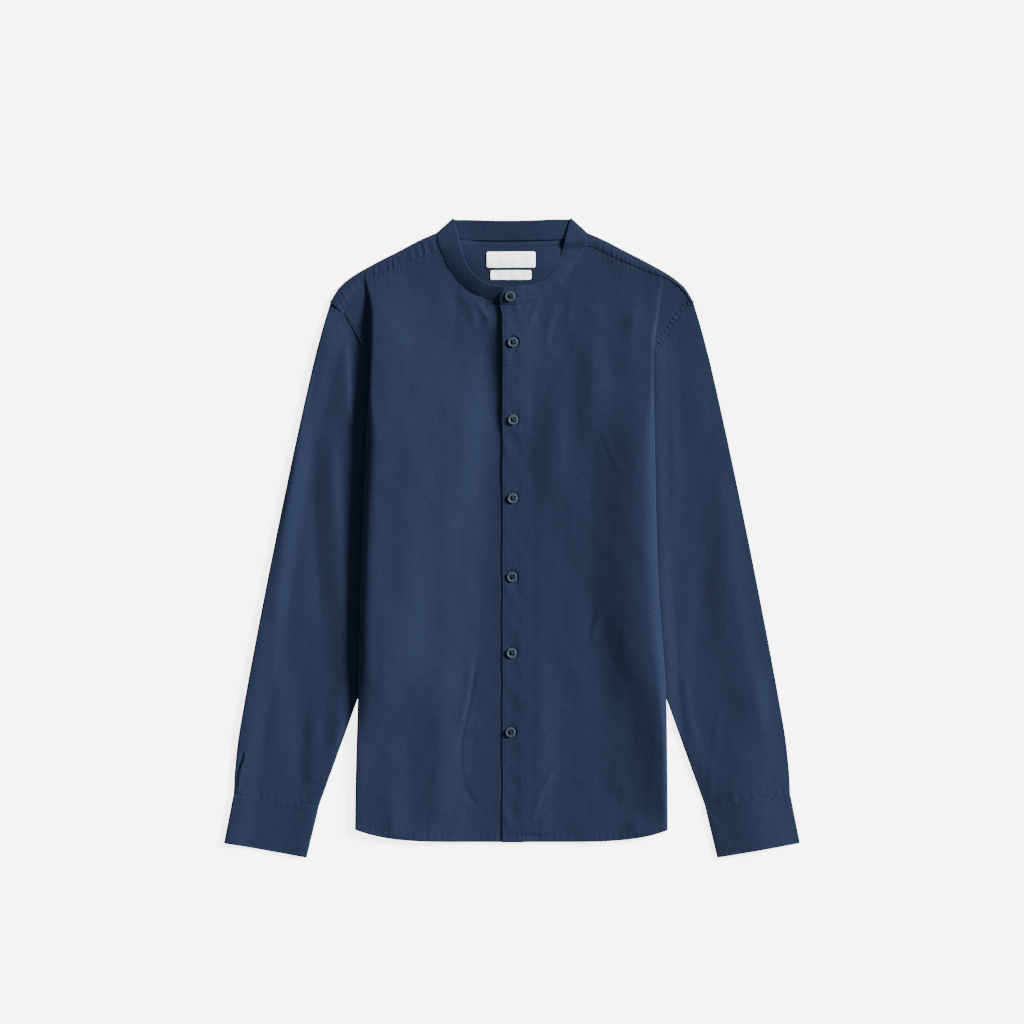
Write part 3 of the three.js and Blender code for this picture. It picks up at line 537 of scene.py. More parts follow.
def labelMaterial():
    # white satin tape: fine ribs across it
    material, tree, shader = newMaterial("whiteTape", {"Roughness": 0.5, "Sheen Weight": 0.2})
    link = tree.links.new
    cut = newNode(tree, "ShaderNodeUVMap", uv_map="cut")
    wave = newNode(tree, "ShaderNodeTexWave", Scale=420.0, Distortion=0.6, Detail=1.0, bands_direction="Y")
    noise = newNode(tree, "ShaderNodeTexNoise", Scale=420.0, Detail=2.0)
    bump = newNode(tree, "ShaderNodeBump", Strength=0.4, Distance=0.0001)
    link(cut.outputs[0], wave.inputs["Vector"])
    link(cut.outputs[0], noise.inputs["Vector"])
    white = colorRamp(tree, noise.outputs["Fac"], (0, (0.94, 0.94, 0.92, 1)), (1, (1.0, 1.0, 0.99, 1)))
    link(white, shader.inputs["Base Color"])
    link(wave.outputs["Fac"], bump.inputs["Height"])
    link(bump.outputs[0], shader.inputs["Normal"])
    return material


navy = shirtingMaterial()
sewing = threadMaterial("sewingThread", (0.007, 0.0115, 0.0248))
buttonSewing = threadMaterial("buttonThread", (0.0012, 0.0024, 0.0064))
resin = buttonMaterial()
tape = labelMaterial()
print("materials made")


# How the layers lie

bridge = {
    # how far in from the flaps' edges and the sleeve's fold the front starts and ends its rise onto them
    "flapFar": 66, "flapNear": 10, "sleeveFar": 62, "sleeveNear": 18,
    "top": {"right": 318, "left": 264},            # by this height the front lies flat again
    "spans": np.linspace(-32, 32, 9),              # the front's rise is the mean over these heights
    "fromStep": 9,                                 # half the height over which the crease opens out
}
shoulderRise = {"height": 1.15, "reach": 34, "slant": 0.87}


def crease(side, y):
    return read(creaseShape, "y", side["key"], y)


def hem(x):
    return shape["hemDrop"] + shape["hemCornerRise"] * np.minimum(1.2, np.abs(x) / shape["hemHalf"]) ** 5


def flapEnd(side, y, onFront):
    # the side seam, a quarter ellipse up to the crease, then the armhole and, on the front, the yoke seam
    up = np.clip((y - shape["underarmY"]) / (shape["turnY"] - shape["underarmY"]), 0, 1)
    hidden = shape["turnX"] - (shape["turnX"] - shape["underarmX"]) * np.sqrt(1 - up**2)
    end = np.where(y <= shape["underarmY"], read(sideSeamShape, "y", "x", y), hidden)
    spread = np.interp(y, armholeShape["y"], armholeShape["x"])
    if onFront:
        ends = yokeEndShape[side["key"]]
        spread = np.where(y > ends["y"][0], np.interp(y, ends["y"], ends["x"]), spread)
    return np.where(y < shape["turnY"], end, spread)


def flapFar(side, y, last, onFront):
    # the flap's end, at least a little beyond the last point of the fold
    end, least = flapEnd(side, y, onFront), 0.8
    return np.where(y >= shape["turnY"], np.maximum(end, last + least), np.minimum(end, last - least))


def sleeveInner(y):
    t = (shape["underarmY"] - y) / (shape["underarmY"] - shape["cuffInnerY"])
    return mix(shape["underarmX"], shape["cuffInnerX"], t)


def layersUnder(side, x, y):
    # how far the front is lifted: two layers on the tucked flaps and two more on the sleeve
    edge = np.where(y < shape["turnY"], flapEnd(side, y, False), crease(side, y))
    top = 1 - smooth(shape["turnY"], bridge["top"][side["key"]], y)
    flaps = smooth(edge - bridge["flapFar"], edge - bridge["flapNear"], x) * top
    foldX = np.where(y > shape["underarmY"], np.minimum(edge, crease(side, y)), sleeveInner(y))
    sleeve = smooth(foldX - bridge["sleeveFar"], foldX - bridge["sleeveNear"], x) * top
    return flaps, sleeve


def swell(inset, reach, fade):
    # rises from 0 at a fold to 1 at the given reach as a quarter circle, then dies away up to fade
    t = np.clip(inset / reach, 0, 1)
    return np.where(inset < reach, np.sqrt(1 - (1 - t) ** 2), 1 - smooth(reach, fade, inset))


def shoulderLift(x, y):
    # towards the shoulder's fold the front rises a little
    top = read(shoulderShape, "x", "y", np.clip(x, shoulderShape["x"][0], shoulderShape["x"][-1]))
    below = np.maximum(0, (top - y) * shoulderRise["slant"])
    return shoulderRise["height"] * (1 - smooth(0, shoulderRise["reach"], below))


# Body

body = {
    # the side creases stand up off their flaps: how high, how far in their tops lie, where they have sunk
    # again, and what changes of this near the hem and near the armhole, each between two heights
    "crest": {"right": 9.6, "left": 7.4}, "crestTop": (258, 322),
    "crestReach": {"right": 15.0, "left": 17.0}, "crestFade": {"right": 150.0, "left": 84.0},
    "lowReach": {"right": 20.0, "left": 5.0}, "lowReachEnds": (-270, -90),
    "highReach": {"right": 3.2, "left": 3.6}, "highReachEnds": (105, 185),
    "highCrest": {"right": 0.5, "left": 0.07}, "highCrestEnds": (115, 205),
    "lowCrest": {"right": 0.12, "left": 0.3}, "lowCrestEnds": {"right": (-255, -140), "left": (-372, -290)},
    "edgeLift": {"low": 0.7, "high": 2.3, "reach": 12.0},    # the right front rises to the placket's edge
    "turn": 2.4,                                   # half width of the crease's fold
    "turnStep": 4.2,                               # width of the step that it becomes beside the armhole
    "loft": 1.3,                                   # the front's own lift off what it lies on
    "overlap": 0.85, "overlapFade": (14.0, 27.4),  # the left front lies on the right one
    "placketStand": 3.3, "standFade": (-14, 60),   # how far the left front's edge stands off the right one
    "hemFold": 6.3, "hemStep": 0.45,
    "flapRest": {"right": 0.55, "left": 0.85}, "flapSettled": 256, "flapFade": (1.5, 36),
    # seam puckers: height, length of a wave, reach from the seam, and seed
    "yokePucker": (0.3, 7.2, 8, 11), "neckPucker": (0.25, 8.5, 9, 14), "hemPucker": (0.22, 6.5, 6, 12),
    "deepest": 1.6,                                # no trough is deeper than the layers under it
}
placketRises = [(0.25, 20, 120), (0.73, 110, 240), (-0.55, 258, 290)]
bodyFolds = [
    # the right front: soft folds down it, then the sharper ones by the placket and the neck
    fold(0.7, 18, 22, [(-62, 300), (-58, 200), (-66, 90), (-60, -20)]),
    fold(-1.3, 15, 18, [(-96, 60), (-104, -60), (-98, -190)]),
    fold(-1.3, 13, 20, [(-138, 160), (-146, 30), (-150, -120)]),
    fold(-1.3, 9, 11, [(-30, 262), (-26, 190), (-22, 110)]),
    fold(-0.8, 2.0, 3.6, [(-39, -124), (-51, -198), (-62, -259), (-56, -301), (-41, -334)]),
    fold(-0.6, 2.2, 3.4, [(-68, -296), (-36, -333)]),
    fold(0.5, 3.0, 6.0, [(-45, -130), (-56, -200), (-68, -262)]),
    fold(0.4, 2.4, 3.0, [(-49, -203), (-62, -264), (-53, -312)]),
    fold(1.2, 18, 15, [(-88, -140), (-84, -250), (-92, -350)], end=0.1),
    fold(-0.9, 12, 12, [(-118, -200), (-124, -290), (-118, -360)], end=0.1),
    fold(0.9, 3.6, 4.5, [(-47, 293), (-36, 277), (-26, 261)]),
    fold(0.7, 5, 7, [(-66, 306), (-50, 280), (-44, 250)]),
    # the left front
    fold(0.35, 3.4, 5.0, [(76, 318), (71, 280), (66, 240)]),
    fold(0.7, 5, 6, [(60, 290), (46, 262), (40, 226)]),
    fold(0.8, 3.4, 4.2, [(36, 292), (26, 274), (22, 252)]),
    fold(-1.2, 12, 14, [(80, 250), (73, 150), (76, 40)]),
    fold(1.0, 13, 14, [(104, 300), (100, 200), (96, 100)]),
    fold(-0.45, 13, 13, [(124, 260), (128, 170), (124, 60)]),
    fold(0.3, 3.0, 4.6, [(108, 142), (119, 108), (133, 76)]),
    fold(-0.2, 3.4, 3.4, [(104, 132), (121, 92), (132, 70)]),
    fold(1.7, 24, 20, [(40, 150), (35, 20), (34, -120), (34, -260), (30, -340)], start=0.15, end=0.2),
    fold(1.3, 24, 22, [(30, -140), (28, -260), (24, -364)], start=0.4, end=0.03),
    fold(-0.7, 30, 30, [(86, 120), (92, -60), (96, -240), (100, -350)], end=0.1),
    fold(-2.4, 22, 16, [(150, -160), (152, -250), (150, -350)], end=0.1),
    fold(0.6, 2.6, 4, [(62, -266), (40, -302), (22, -352)], end=0.15),
    fold(0.6, 3.5, 5, [(96, -130), (104, -98), (118, -80)]),
    fold(0.9, 6, 8, [(151, 285), (146, 262), (142, 232)]),
    # near the hem
    fold(-0.6, 9, 9, [(0, -300), (8, -372)], end=0.05),
    fold(0.9, 11, 9, [(-150, -300), (-142, -364)], end=0.05),
    fold(0.9, 10, 9, [(142, -290), (150, -362)], end=0.05),
]


def bodyRelief(side, x, y):
    # the folds, with puckers along the yoke, the neck and the hem, and the hem's own thickness and groove
    realX = side["sign"] * x
    below = np.maximum(read(frontTopShape, "x", side["key"], np.clip(x, 0, 182)) - y, 0)
    above = np.maximum(y - hem(x), 0)
    puckers = pucker(realX, below, *body["yokePucker"]) * smooth(84, 98, x)
    puckers = puckers + pucker(realX, below, *body["neckPucker"]) * (1 - smooth(80, 96, x))
    puckers = puckers + pucker(realX + 400, np.abs(above - body["hemFold"]), *body["hemPucker"])
    hemEdge = body["hemStep"] * (1 - smooth(body["hemFold"] - 0.4, body["hemFold"] + 0.9, above))
    hemEdge = hemEdge + groove(above - body["hemFold"] + 0.9, 0.3, 0.8)
    folds = foldRelief(bodyFolds, realX, y) + 0.45 * crumple(realX, y, 5)
    folds = np.where(folds < 0, body["deepest"] * np.tanh(folds / body["deepest"]), folds)
    return folds + puckers + hemEdge


def placketRise(y):
    # how much of its stand the placket has: next to none low down, all of it near the neck, unevenly
    rise = 0.02 + sum(share * smooth(low, high, y) for share, low, high in placketRises)
    return rise * (1 + 0.3 * ripple(y, 92, 31))


def frontHeight(side, x, y):
    # the front bridges the edges of what lies under it
    key = side["key"]
    flaps, sleeve = np.mean([layersUnder(side, x, y + away) for away in bridge["spans"]], axis=0)
    inset = np.maximum(0, crease(side, y) - x)
    reach = mix(body["lowReach"][key], body["crestReach"][key], smooth(*body["lowReachEnds"], y))
    reach = mix(reach, body["highReach"][key], smooth(*body["highReachEnds"], y))
    crest = body["crest"][key] * swell(inset, reach, body["crestFade"][key])
    crest = crest * mix(1, body["highCrest"][key], smooth(*body["highCrestEnds"], y))
    crest = crest * (1 - smooth(*body["crestTop"], y))
    crest = crest * mix(body["lowCrest"][key], 1, smooth(*body["lowCrestEnds"][key], y))
    if side["sign"] > 0:
        overlap = body["overlap"] * (1 - smooth(*body["overlapFade"], x))
        overlap = overlap + body["placketStand"] * placketRise(y) * (1 - smooth(*body["standFade"], x))
    else:
        lift = body["edgeLift"]
        beside = np.exp(-np.maximum(0, x + shape["placketFrom"]) / lift["reach"]) * smooth(-6, 9, x)
        overlap = (lift["low"] + lift["high"] * placketRise(y)) * beside
    return frontLevel + body["loft"] + 2 * step * (flaps + sleeve) + crest + overlap + shoulderLift(x, y)


def frontFlapHeight(side, x, y):
    # beyond the crease: tucked under the front low down, and spread out to the armhole above its turn
    edge = crease(side, y)
    sleeve = layersUnder(side, np.minimum(x, edge), y)[1]
    tucked = frontLevel + step + 2 * step * sleeve
    settle = 1 - smooth(shape["turnY"], body["flapSettled"], y)
    away = 1 - smooth(*body["flapFade"], x - edge)
    spread = frontLevel + body["flapRest"][side["key"]] + 3 * step * settle * away + shoulderLift(x, y)
    return np.where(y <= shape["turnY"], tucked, spread)


def frontSurface(side, x, y):
    return frontHeight(side, x, y) + bodyRelief(side, x, y)


armhole = {
    "rows": (2.0, 6.3),                            # two rows of stitching beside the seam
    "puckerMiddle": 4.2, "puckerHalf": 3.2, "puckerHeight": {"right": 0.34, "left": 0.6}, "proud": 0.1,
}


def armholePath():
    # from the shoulder tip down to the underarm, the lower part a quarter ellipse
    upper = np.stack([armholeShape["x"][::-1], armholeShape["y"][::-1]], 1)
    turn = np.linspace(0, np.pi / 2, 7)[1:]
    hiddenX = shape["turnX"] - (shape["turnX"] - shape["underarmX"]) * np.sin(turn)
    hiddenY = shape["underarmY"] + (shape["turnY"] - shape["underarmY"]) * np.cos(turn)
    return np.vstack([upper, np.stack([hiddenX, hiddenY], 1)])


armholeCurve = curveThrough(armholePath(), 600)


def armholeLine(side, away):
    # a row of stitching on the body's side of the seam, from the shoulder's tip to the crease
    at, along = evenly(armholeCurve, np.linspace(0.02, 0.5, 90))
    x, y = at[:, 0] + along[:, 1] * away, at[:, 1] - along[:, 0] * away
    shown = (x > crease(side, y) + 7) & (y < read(frontTopShape, "x", side["key"], 165) - 30)
    return np.stack([side["sign"] * x, y], 1)[shown]


def armholeRelief(side, x, y):
    # the seam's edge stands a little proud, puckered between its two rows of stitching
    signed, along, length = nearestOn(armholeCurve[:300:12], x, y)
    away = np.abs(signed)
    wave = armhole["proud"] + armhole["puckerHeight"][side["key"]] * ripple(along, 4.6, 21)
    relief = wave * np.exp(-((away - armhole["puckerMiddle"]) / armhole["puckerHalf"]) ** 4)
    return relief + sum(groove(away - row, 0.3, 0.9) for row in armhole["rows"])


def frontGrid(side):
    # Across: a run out to near the crease, a half ellipse round it, and the flap. Above the armhole's turn
    # the half ellipse eases into a step down to the flap, which spreads out to the armhole.
    top = yokeEndShape[side["key"]]["y"][-1]
    start = shape["placketFrom"] if side["sign"] > 0 else -shape["underEdge"]
    heights = spaced([-363, -350, 200, 244, top], [12, 165, 37, 59])
    share = (heights - heights[0]) / (top - heights[0])
    y0 = heights[:, None]
    edge = crease(side, y0)
    turn = body["turn"]
    runX = mix(start, edge - turn, np.linspace(0, 1, 112)[None, :])
    runTop = read(frontTopShape, "x", side["key"], np.maximum(0, runX))
    runY = mix(hem(runX), runTop, share[:, None])
    runZ = frontSurface(side, runX, runY)
    spread = smooth(shape["turnY"] - bridge["fromStep"], shape["turnY"] + bridge["fromStep"], y0)
    turnT = np.linspace(0, 1, 13)[None, 1:]
    bend = np.pi * (0.5 - turnT)
    highZ = runZ[:, -1:]
    lowZ = frontFlapHeight(side, edge - turn, y0) + 0.6
    foldedZ = (highZ + lowZ) / 2 + (highZ - lowZ) / 2 * np.sin(bend)
    stepZ = mix(highZ, frontFlapHeight(side, edge + 2.0, y0), smooth(0, 1, turnT))
    turnX = mix(edge - turn + turn * np.cos(bend), edge - turn + body["turnStep"] * turnT, spread)
    turnZ = mix(foldedZ, stepZ, spread)
    flapT = np.linspace(0, 1, 34)[None, 1:]
    flapX = mix(turnX[:, -1:], flapFar(side, y0, turnX[:, -1:], True), flapT)
    flapZ = mix(turnZ[:, -1:], frontFlapHeight(side, flapX, y0 + 0 * flapX), smooth(0, 0.4, flapT))
    x = np.concatenate([runX, turnX, flapX], 1)
    z = np.concatenate([runZ, turnZ, flapZ], 1)
    outerY = mix(hem(x[:, runX.shape[1]:]), top, share[:, None])
    y = np.concatenate([runY, outerY], 1)
    across = np.hypot(np.diff(x, axis=1, prepend=x[:, :1]), np.diff(z, axis=1, prepend=z[:, :1])).cumsum(1)
    z = np.where(x > edge + 2, z + armholeRelief(side, x, y), z)
    points = np.stack([side["sign"] * x, y, z], -1)
    uv = np.stack([side["sign"] * (across + start), y], -1)
    flap = points[heights > shape["turnY"] + 4, runX.shape[1] + turnT.shape[1] - 1:]
    return points, uv, points[:, :runX.shape[1]], flap


def hemLine(side, above):
    x = np.linspace(12.5 if side["sign"] < 0 else 14.5, 184, 90)
    return np.stack([side["sign"] * x, hem(x) + above], 1)


def neckLine(side, start, stop, offset):
    x = np.linspace(start, stop, 60)
    return np.stack([side["sign"] * x, read(frontTopShape, "x", side["key"], x) + offset], 1)


def makeFronts():
    made = {}
    for side in (wearerRight, wearerLeft):
        key = side["key"]
        points, uv, run, flap = frontGrid(side)
        thing = clothSheet("frontPanel_" + key, points, uv, navy, flip=side["sign"] < 0)
        place(thing, "front_" + key)
        lines = [lineOn(run, hemLine(side, body["hemFold"] - 1.0))]
        lines += [lineOn(run, neckLine(side, 14.5, 88, -4.5))]
        lines += [lineOn(flap, armholeLine(side, away)) for away in armhole["rows"]]
        stitches = stitchPiece("frontStitches_" + key, lines, "front_" + key)
        under = ["backPanel", "sleevePanel_" + key] + (["frontPanel_right"] if side["sign"] > 0 else [])
        declareSheet(thing, uv, under, [stitches])
        made[key] = run
    print("fronts made")
    return made


def makeBack():
    # flat on the floor, round each crease in a half circle, and back over itself as the flap; above the
    # armhole's turn it spreads out flat
    heights = spaced([-363, -345, 200, 240, shape["backYokeSeam"] - 0.45], [5, 91, 19, 7])
    share = (heights - heights[0]) / (heights[-1] - heights[0])
    y0 = heights[:, None]
    spread = smooth(shape["turnY"] - bridge["fromStep"], shape["turnY"] + bridge["fromStep"], y0)
    turnT, flapT = np.linspace(0, 1, 8)[None, 1:], np.linspace(0, 1, 11)[None, 1:]
    bend = np.pi * (turnT - 0.5)
    level, half, stepWidth = layers["back"], step / 2, 3.2
    halves = []
    for side in (wearerRight, wearerLeft):
        edge = crease(side, y0)
        runX = mix(0, edge - half, np.linspace(0, 1, 24)[None, :])
        turnX = mix(edge - half + half * np.cos(bend), edge - half + stepWidth * turnT, spread)
        turnZ = mix(level + half + half * np.sin(bend), level + 0 * bend, spread)
        flapX = mix(turnX[:, -1:], flapFar(side, y0, turnX[:, -1:], False), flapT)
        flapZ = np.where(y0 < shape["turnY"], level + step, level) + 0 * flapX
        flapZ = mix(turnZ[:, -1:], flapZ, flapT ** 0.5)
        x = np.concatenate([runX, turnX, flapX], 1)
        z = np.concatenate([0 * runX + level, turnZ, flapZ], 1)
        y = mix(hem(x), heights[-1], share[:, None])
        across = np.hypot(np.diff(x, axis=1, prepend=0), np.diff(z, axis=1, prepend=level)).cumsum(1)
        halves.append((np.stack([side["sign"] * x, y, z], -1), np.stack([side["sign"] * across, y], -1)))
    points, uv = (np.concatenate([halves[0][k][:, :0:-1], halves[1][k]], 1) for k in (0, 1))
    thing = clothSheet("backPanel", points, uv, navy)
    place(thing, "back")
    declareSheet(thing, uv, ["floor"], [])
    print("back made")


def makePlacket(run):
    # the left front's edge again, one layer up, with its long edges turned under and stitched
    placket = {
        "turned": 0.95, "stitch": 1.6, "low": 0.55, "high": 1.2, "flare": -3.2, "dimple": 1.3, "dimpleAt": 6.6,
    }
    columns = int(np.argmax(run[0, :, 0] > shape["placketTo"])) + 1
    across = np.linspace(shape["placketFrom"], shape["placketTo"], 27)
    source = run[:, :columns + 1]
    x = np.repeat(across[None, :], len(run), 0)
    y, z = (np.stack([np.interp(across, row[:, 0], row[:, k]) for row in source]) for k in (1, 2))
    edge = np.minimum(across - across[0], across[-1] - across)[None, :]
    fromLeft = (across[-1] - across) / (across[-1] - across[0])
    sideways = (placket["flare"] * smooth(270, 285, y) + 0.35 * ripple(y, 70, 44)) * fromLeft
    relief = pucker(y, x - across[0], 0.16, 6.4, 4, 41) + pucker(y, across[-1] - x, 0.16, 7.1, 4, 42)
    relief = relief + groove(edge - placket["stitch"], 0.22, 0.7)
    relief = relief + 0.25 * ripple(y * 0.9 + x, 34, 43) * smooth(0, 6, edge)
    for bx, by in buttonPlaces:
        relief = relief + groove(np.hypot(x - bx, y - by) - placket["dimpleAt"], placket["dimple"], 1.1)
    ride = mix(placket["low"], placket["high"], smooth(0, 220, y))
    points = np.stack([x + sideways, y, z + ride + relief], -1)
    uv = np.stack([x + 300, y], -1)
    thing = softBand("placketBand", np.swapaxes(points, 0, 1), np.swapaxes(uv, 0, 1), placket["turned"], navy)
    place(thing, "placket")
    lines = []
    for inset in (across[0] + placket["stitch"], across[-1] - placket["stitch"]):
        middle = points[2:-1, 13, 1]
        lines.append(lineOn(points, np.stack([0 * middle + inset, middle], 1), lift=placket["turned"] / 2))
    stitches = stitchPiece("placketStitches", lines, "placket")
    print("placket made")
    return points, {"thing": thing, "uv": uv, "restsOn": ["frontPanel_left"], "pieces": [stitches]}


# Sleeves and cuffs

cuffFull = {"right": (2.4, 1.6), "left": (0.5, 0.3)}     # fullness at the outer and the inner fold
cuffRidge = {"right": 0.3, "left": 4.4}
sleeveFolds = {
    "right": [
        fold(1.5, 9, 13, [(-221, 152), (-217, 46), (-209, -76), (-206, -185), (-218, -272)], 0.2, 0.1),
        fold(2.1, 5, 20, [(-204, 262), (-202, 205), (-199, 130)], 0.4),
        fold(-0.9, 10, 10, [(-240, 235), (-246, 144), (-244, 46), (-234, -76), (-233, -173)], 0.15),
        fold(1.4, 11, 9, [(-259, 193), (-267, 107), (-278, -15), (-289, -137), (-298, -246)]),
        fold(0.9, 14, 15, [(-288, -124), (-290, -200), (-288, -290)]),
        fold(-0.8, 12, 12, [(-254, -150), (-256, -230), (-262, -300)], end=0.1),
        fold(0.9, 9, 9, [(-240, -210), (-246, -300)], end=0.1),
        # the slit's edge by the cuff, and the roll beside it
        fold(-1.7, 1.0, 2.6, [(-325.7, -261), (-334, -284), (-338.4, -312)], 0.08, 0.02),
        fold(0.7, 4.0, 1.3, [(-323.4, -262), (-331.5, -285), (-336, -312)], 0.1, 0.02),
        fold(0.5, 4, 4, [(-211, 262), (-208, 240)], 0.1),
        fold(0.35, 9, 8, [(-300, -180), (-316, -250), (-320, -305)], end=0.1),
    ],
    "left": [
        fold(1.1, 9, 14, [(190, 229), (193, 144), (195, 71), (190, -76)], 0.1),
        fold(-1.1, 19, 20, [(236, 96), (238, 10), (232, -86), (228, -190)], 0.35, 0.25),
        fold(1.9, 15, 26, [(242, 130), (254, 36), (270, -76), (292, -190), (304, -260)], 0.35, 0.2),
        fold(0.8, 13, 20, [(212, 236), (224, 180), (234, 110)]),
        fold(0.35, 5, 6, [(239, -320), (248, -246), (254, -190)], 0.05),
        fold(-0.6, 2.6, 3, [(230, -277), (222, -286)]),
        fold(1.6, 15, 36, [(292, -150), (302, -230), (304, -300)], 0.3, 0.5),
        fold(-0.3, 7, 6, [(212, 262), (201, 238), (196, 205)], 0.1),
        fold(0.8, 6, 7, [(206, -150), (214, -210), (226, -262)]),
    ],
}


def sleevePlan(length, across):
    # the flat sleeve between its outer fold and its inner one; near the top it follows the armhole
    tuck, head = 3.6, 0.3                          # how far it runs in under the seam, and the head's share
    outerY = mix(shape["tipY"], shape["cuffOuterY"], length)
    outerX = read(sleeveOuterShape, "y", "x", outerY)
    innerY = mix(shape["underarmY"], shape["cuffInnerY"], length)
    innerX = sleeveInner(innerY)
    fade = np.maximum(0, 1 - length / head) ** 2
    seam, along = evenly(armholeCurve, across)
    chordX = mix(shape["tipX"], shape["underarmX"], across)
    chordY = mix(shape["tipY"], shape["underarmY"], across)
    x = mix(outerX, innerX, across) + fade * (seam[..., 0] + along[..., 1] * tuck - chordX)
    y = mix(outerY, innerY, across) + fade * (seam[..., 1] - along[..., 0] * tuck - chordY)
    return x, y


def cuffPlan(length, across):
    # the flat cuff between its outer fold and its inner one
    outer, inner = ([mix(shape["cuff" + end + axis], shape["edge" + end + axis], length) for axis in "XY"]
                    for end in ("Outer", "Inner"))
    return mix(outer[0], inner[0], across), mix(outer[1], inner[1], across)


def cuffArch(side, across):
    # the cuff and the sleeve's end stand up along one soft ridge down their middle
    return cuffRidge[side["key"]] * np.sin(np.pi * np.clip(across, 0, 1)) ** 1.3


def sleeveRide(side, x, y, top):
    # the layers of the body under the sleeve, or on it, come and go within a few centimetres of the crease
    beyond = x - crease(side, y)
    rise = 3 * (1 - smooth(shape["turnY"], 256, y)) - (1 - smooth(shape["turnY"], 240, y))
    rise = np.where(y <= shape["turnY"], 2, rise)
    over = step * rise * (1 - smooth(1.5, 20, beyond))
    under = 2 * step * (1 - smooth(5, 18, beyond)) * (1 - smooth(shape["turnY"] - 1, 238, y))
    return np.where(top, over, under)


def tubeGrid(plan, lengths, upper, lower):
    # across each row of a flattened tube: distances from the outer fold over the top, round the inner fold
    # and back underneath, closer together at the folds
    ax, ay = plan(lengths, 0 * lengths)
    bx, by = plan(lengths, 0 * lengths + 1)
    width = np.hypot(ax - bx, ay - by)
    turn = np.array([0, 0.12, 0.4, 0.8, 1.3, 1.9, 2.6])

    def inside(count):
        flat = np.linspace(0, 1, count + 2)[1:-1] * (width - 2 * turn[-1]) + turn[-1]
        return np.concatenate([turn + 0 * width, flat, width - turn[::-1]], 1)

    over = inside(upper)
    under = inside(lower)[:, ::-1][:, 1:-1]
    d = np.concatenate([over, under], 1)
    top = np.repeat((np.arange(d.shape[1]) < over.shape[1])[None], len(d), 0)
    x, y = plan(lengths + 0 * d, d / width)
    return d, top, width, x, y


def tubeHeight(d, top, width, thick, outer, inner, ride):
    # the two sides are apart by a wall, the gap and the fullness, and meet at each fold in a quarter circle
    fromEdge = np.minimum(d, width - d)
    full = np.where(d < width / 2, outer, inner) * (1 - smooth(5, 34, fromEdge))
    apart = thick + layers["gap"] + full
    radius = np.minimum(2.4, apart / 2 + 0.4)
    rounded = np.where(fromEdge >= radius, 1, np.sqrt(1 - (1 - np.minimum(fromEdge / radius, 1)) ** 2))
    return ride + thick / 2 + apart / 2 + np.where(top, 1, -1) * rounded * apart / 2


def slitLine(side, offset):
    # the edge of the slit's facing, which turns from the underside onto the top near the cuff
    path = np.array([(327.0 - offset, -262), (334.5 - offset, -292), (337 - offset, -311)])
    return curveThrough(path * [side["sign"], 1], 20)


def makeSleeve(side):
    key, sign = side["key"], side["sign"]
    sleeve = {
        # fullness at the folds, gathers at the cuff (wave, height), and how far the seam's edge dips in
        "right": {"outerFull": 3.6, "innerFull": 1.8, "gathers": (7.5, 0.22), "sunk": 0.3},
        "left": {"outerFull": 0.1, "innerFull": 1.8, "gathers": (12.0, 0.42), "sunk": 0.6},
    }[key]
    cut = 640                                      # length of its cut
    at = spaced([0, 0.03, 0.985, 1], [8, 149, 8])[:, None]
    d, top, width, x, y = tubeGrid(sleevePlan, at, 92, 40)
    across = d / width
    squeeze = 1 - 0.2 * smooth(0.985, 1, at)
    head = 0.5 + 0.6 * smooth(258, 282, y)
    toCuff = smooth(0.86, 0.985, at)
    outer = mix(mix(head, sleeve["outerFull"], smooth(0, 0.07, at)), cuffFull[key][0], toCuff)
    inner = mix(sleeve["innerFull"] * (1 - smooth(-275, -200, y)), cuffFull[key][1], toCuff)
    ride = sleeveRide(side, x, y, top)
    z = tubeHeight(d, top, width, layers["wall"], outer * squeeze, inner * squeeze, ride)
    relief = foldRelief(sleeveFolds[key], sign * x, y) + 0.35 * crumple(sign * x, y, 7)
    period, depth = sleeve["gathers"]
    fromCuff = (1 - at) * cut
    relief = relief + pucker(d, fromCuff, depth, period, 10, 51) * smooth(0.5, 5, fromCuff)
    relief = relief + pucker(across * 150, at * cut, 0.3, 6, 7, 52)
    relief = relief + cuffArch(side, across) * smooth(0.72, 1, at)
    sunk = sleeve["sunk"] * (1 - smooth(0, 0.0095, at))
    z = z + np.where(top, relief * smooth(0.5, 7, np.minimum(d, width - d)) - sunk, 0)
    points = np.stack([sign * x, y, z], -1)
    around = np.where(top, d, 2 * width - d)
    uv = np.stack([sign * (around + 900), at * cut + 0 * around], -1)
    thing = clothSheet("sleevePanel_" + key, points, uv, navy, closed=True, flip=sign > 0)
    place(thing, "sleeve_" + key)
    upper = points[:, :int(top[0].sum())]
    lines = [lineOn(upper, slitLine(side, offset)) for offset in (0, 2.2)]
    stitches = stitchPiece("sleeveStitches_" + key, lines, "sleeve_" + key)
    declareSheet(thing, uv, ["floor"], [stitches], plan=points[..., :2])


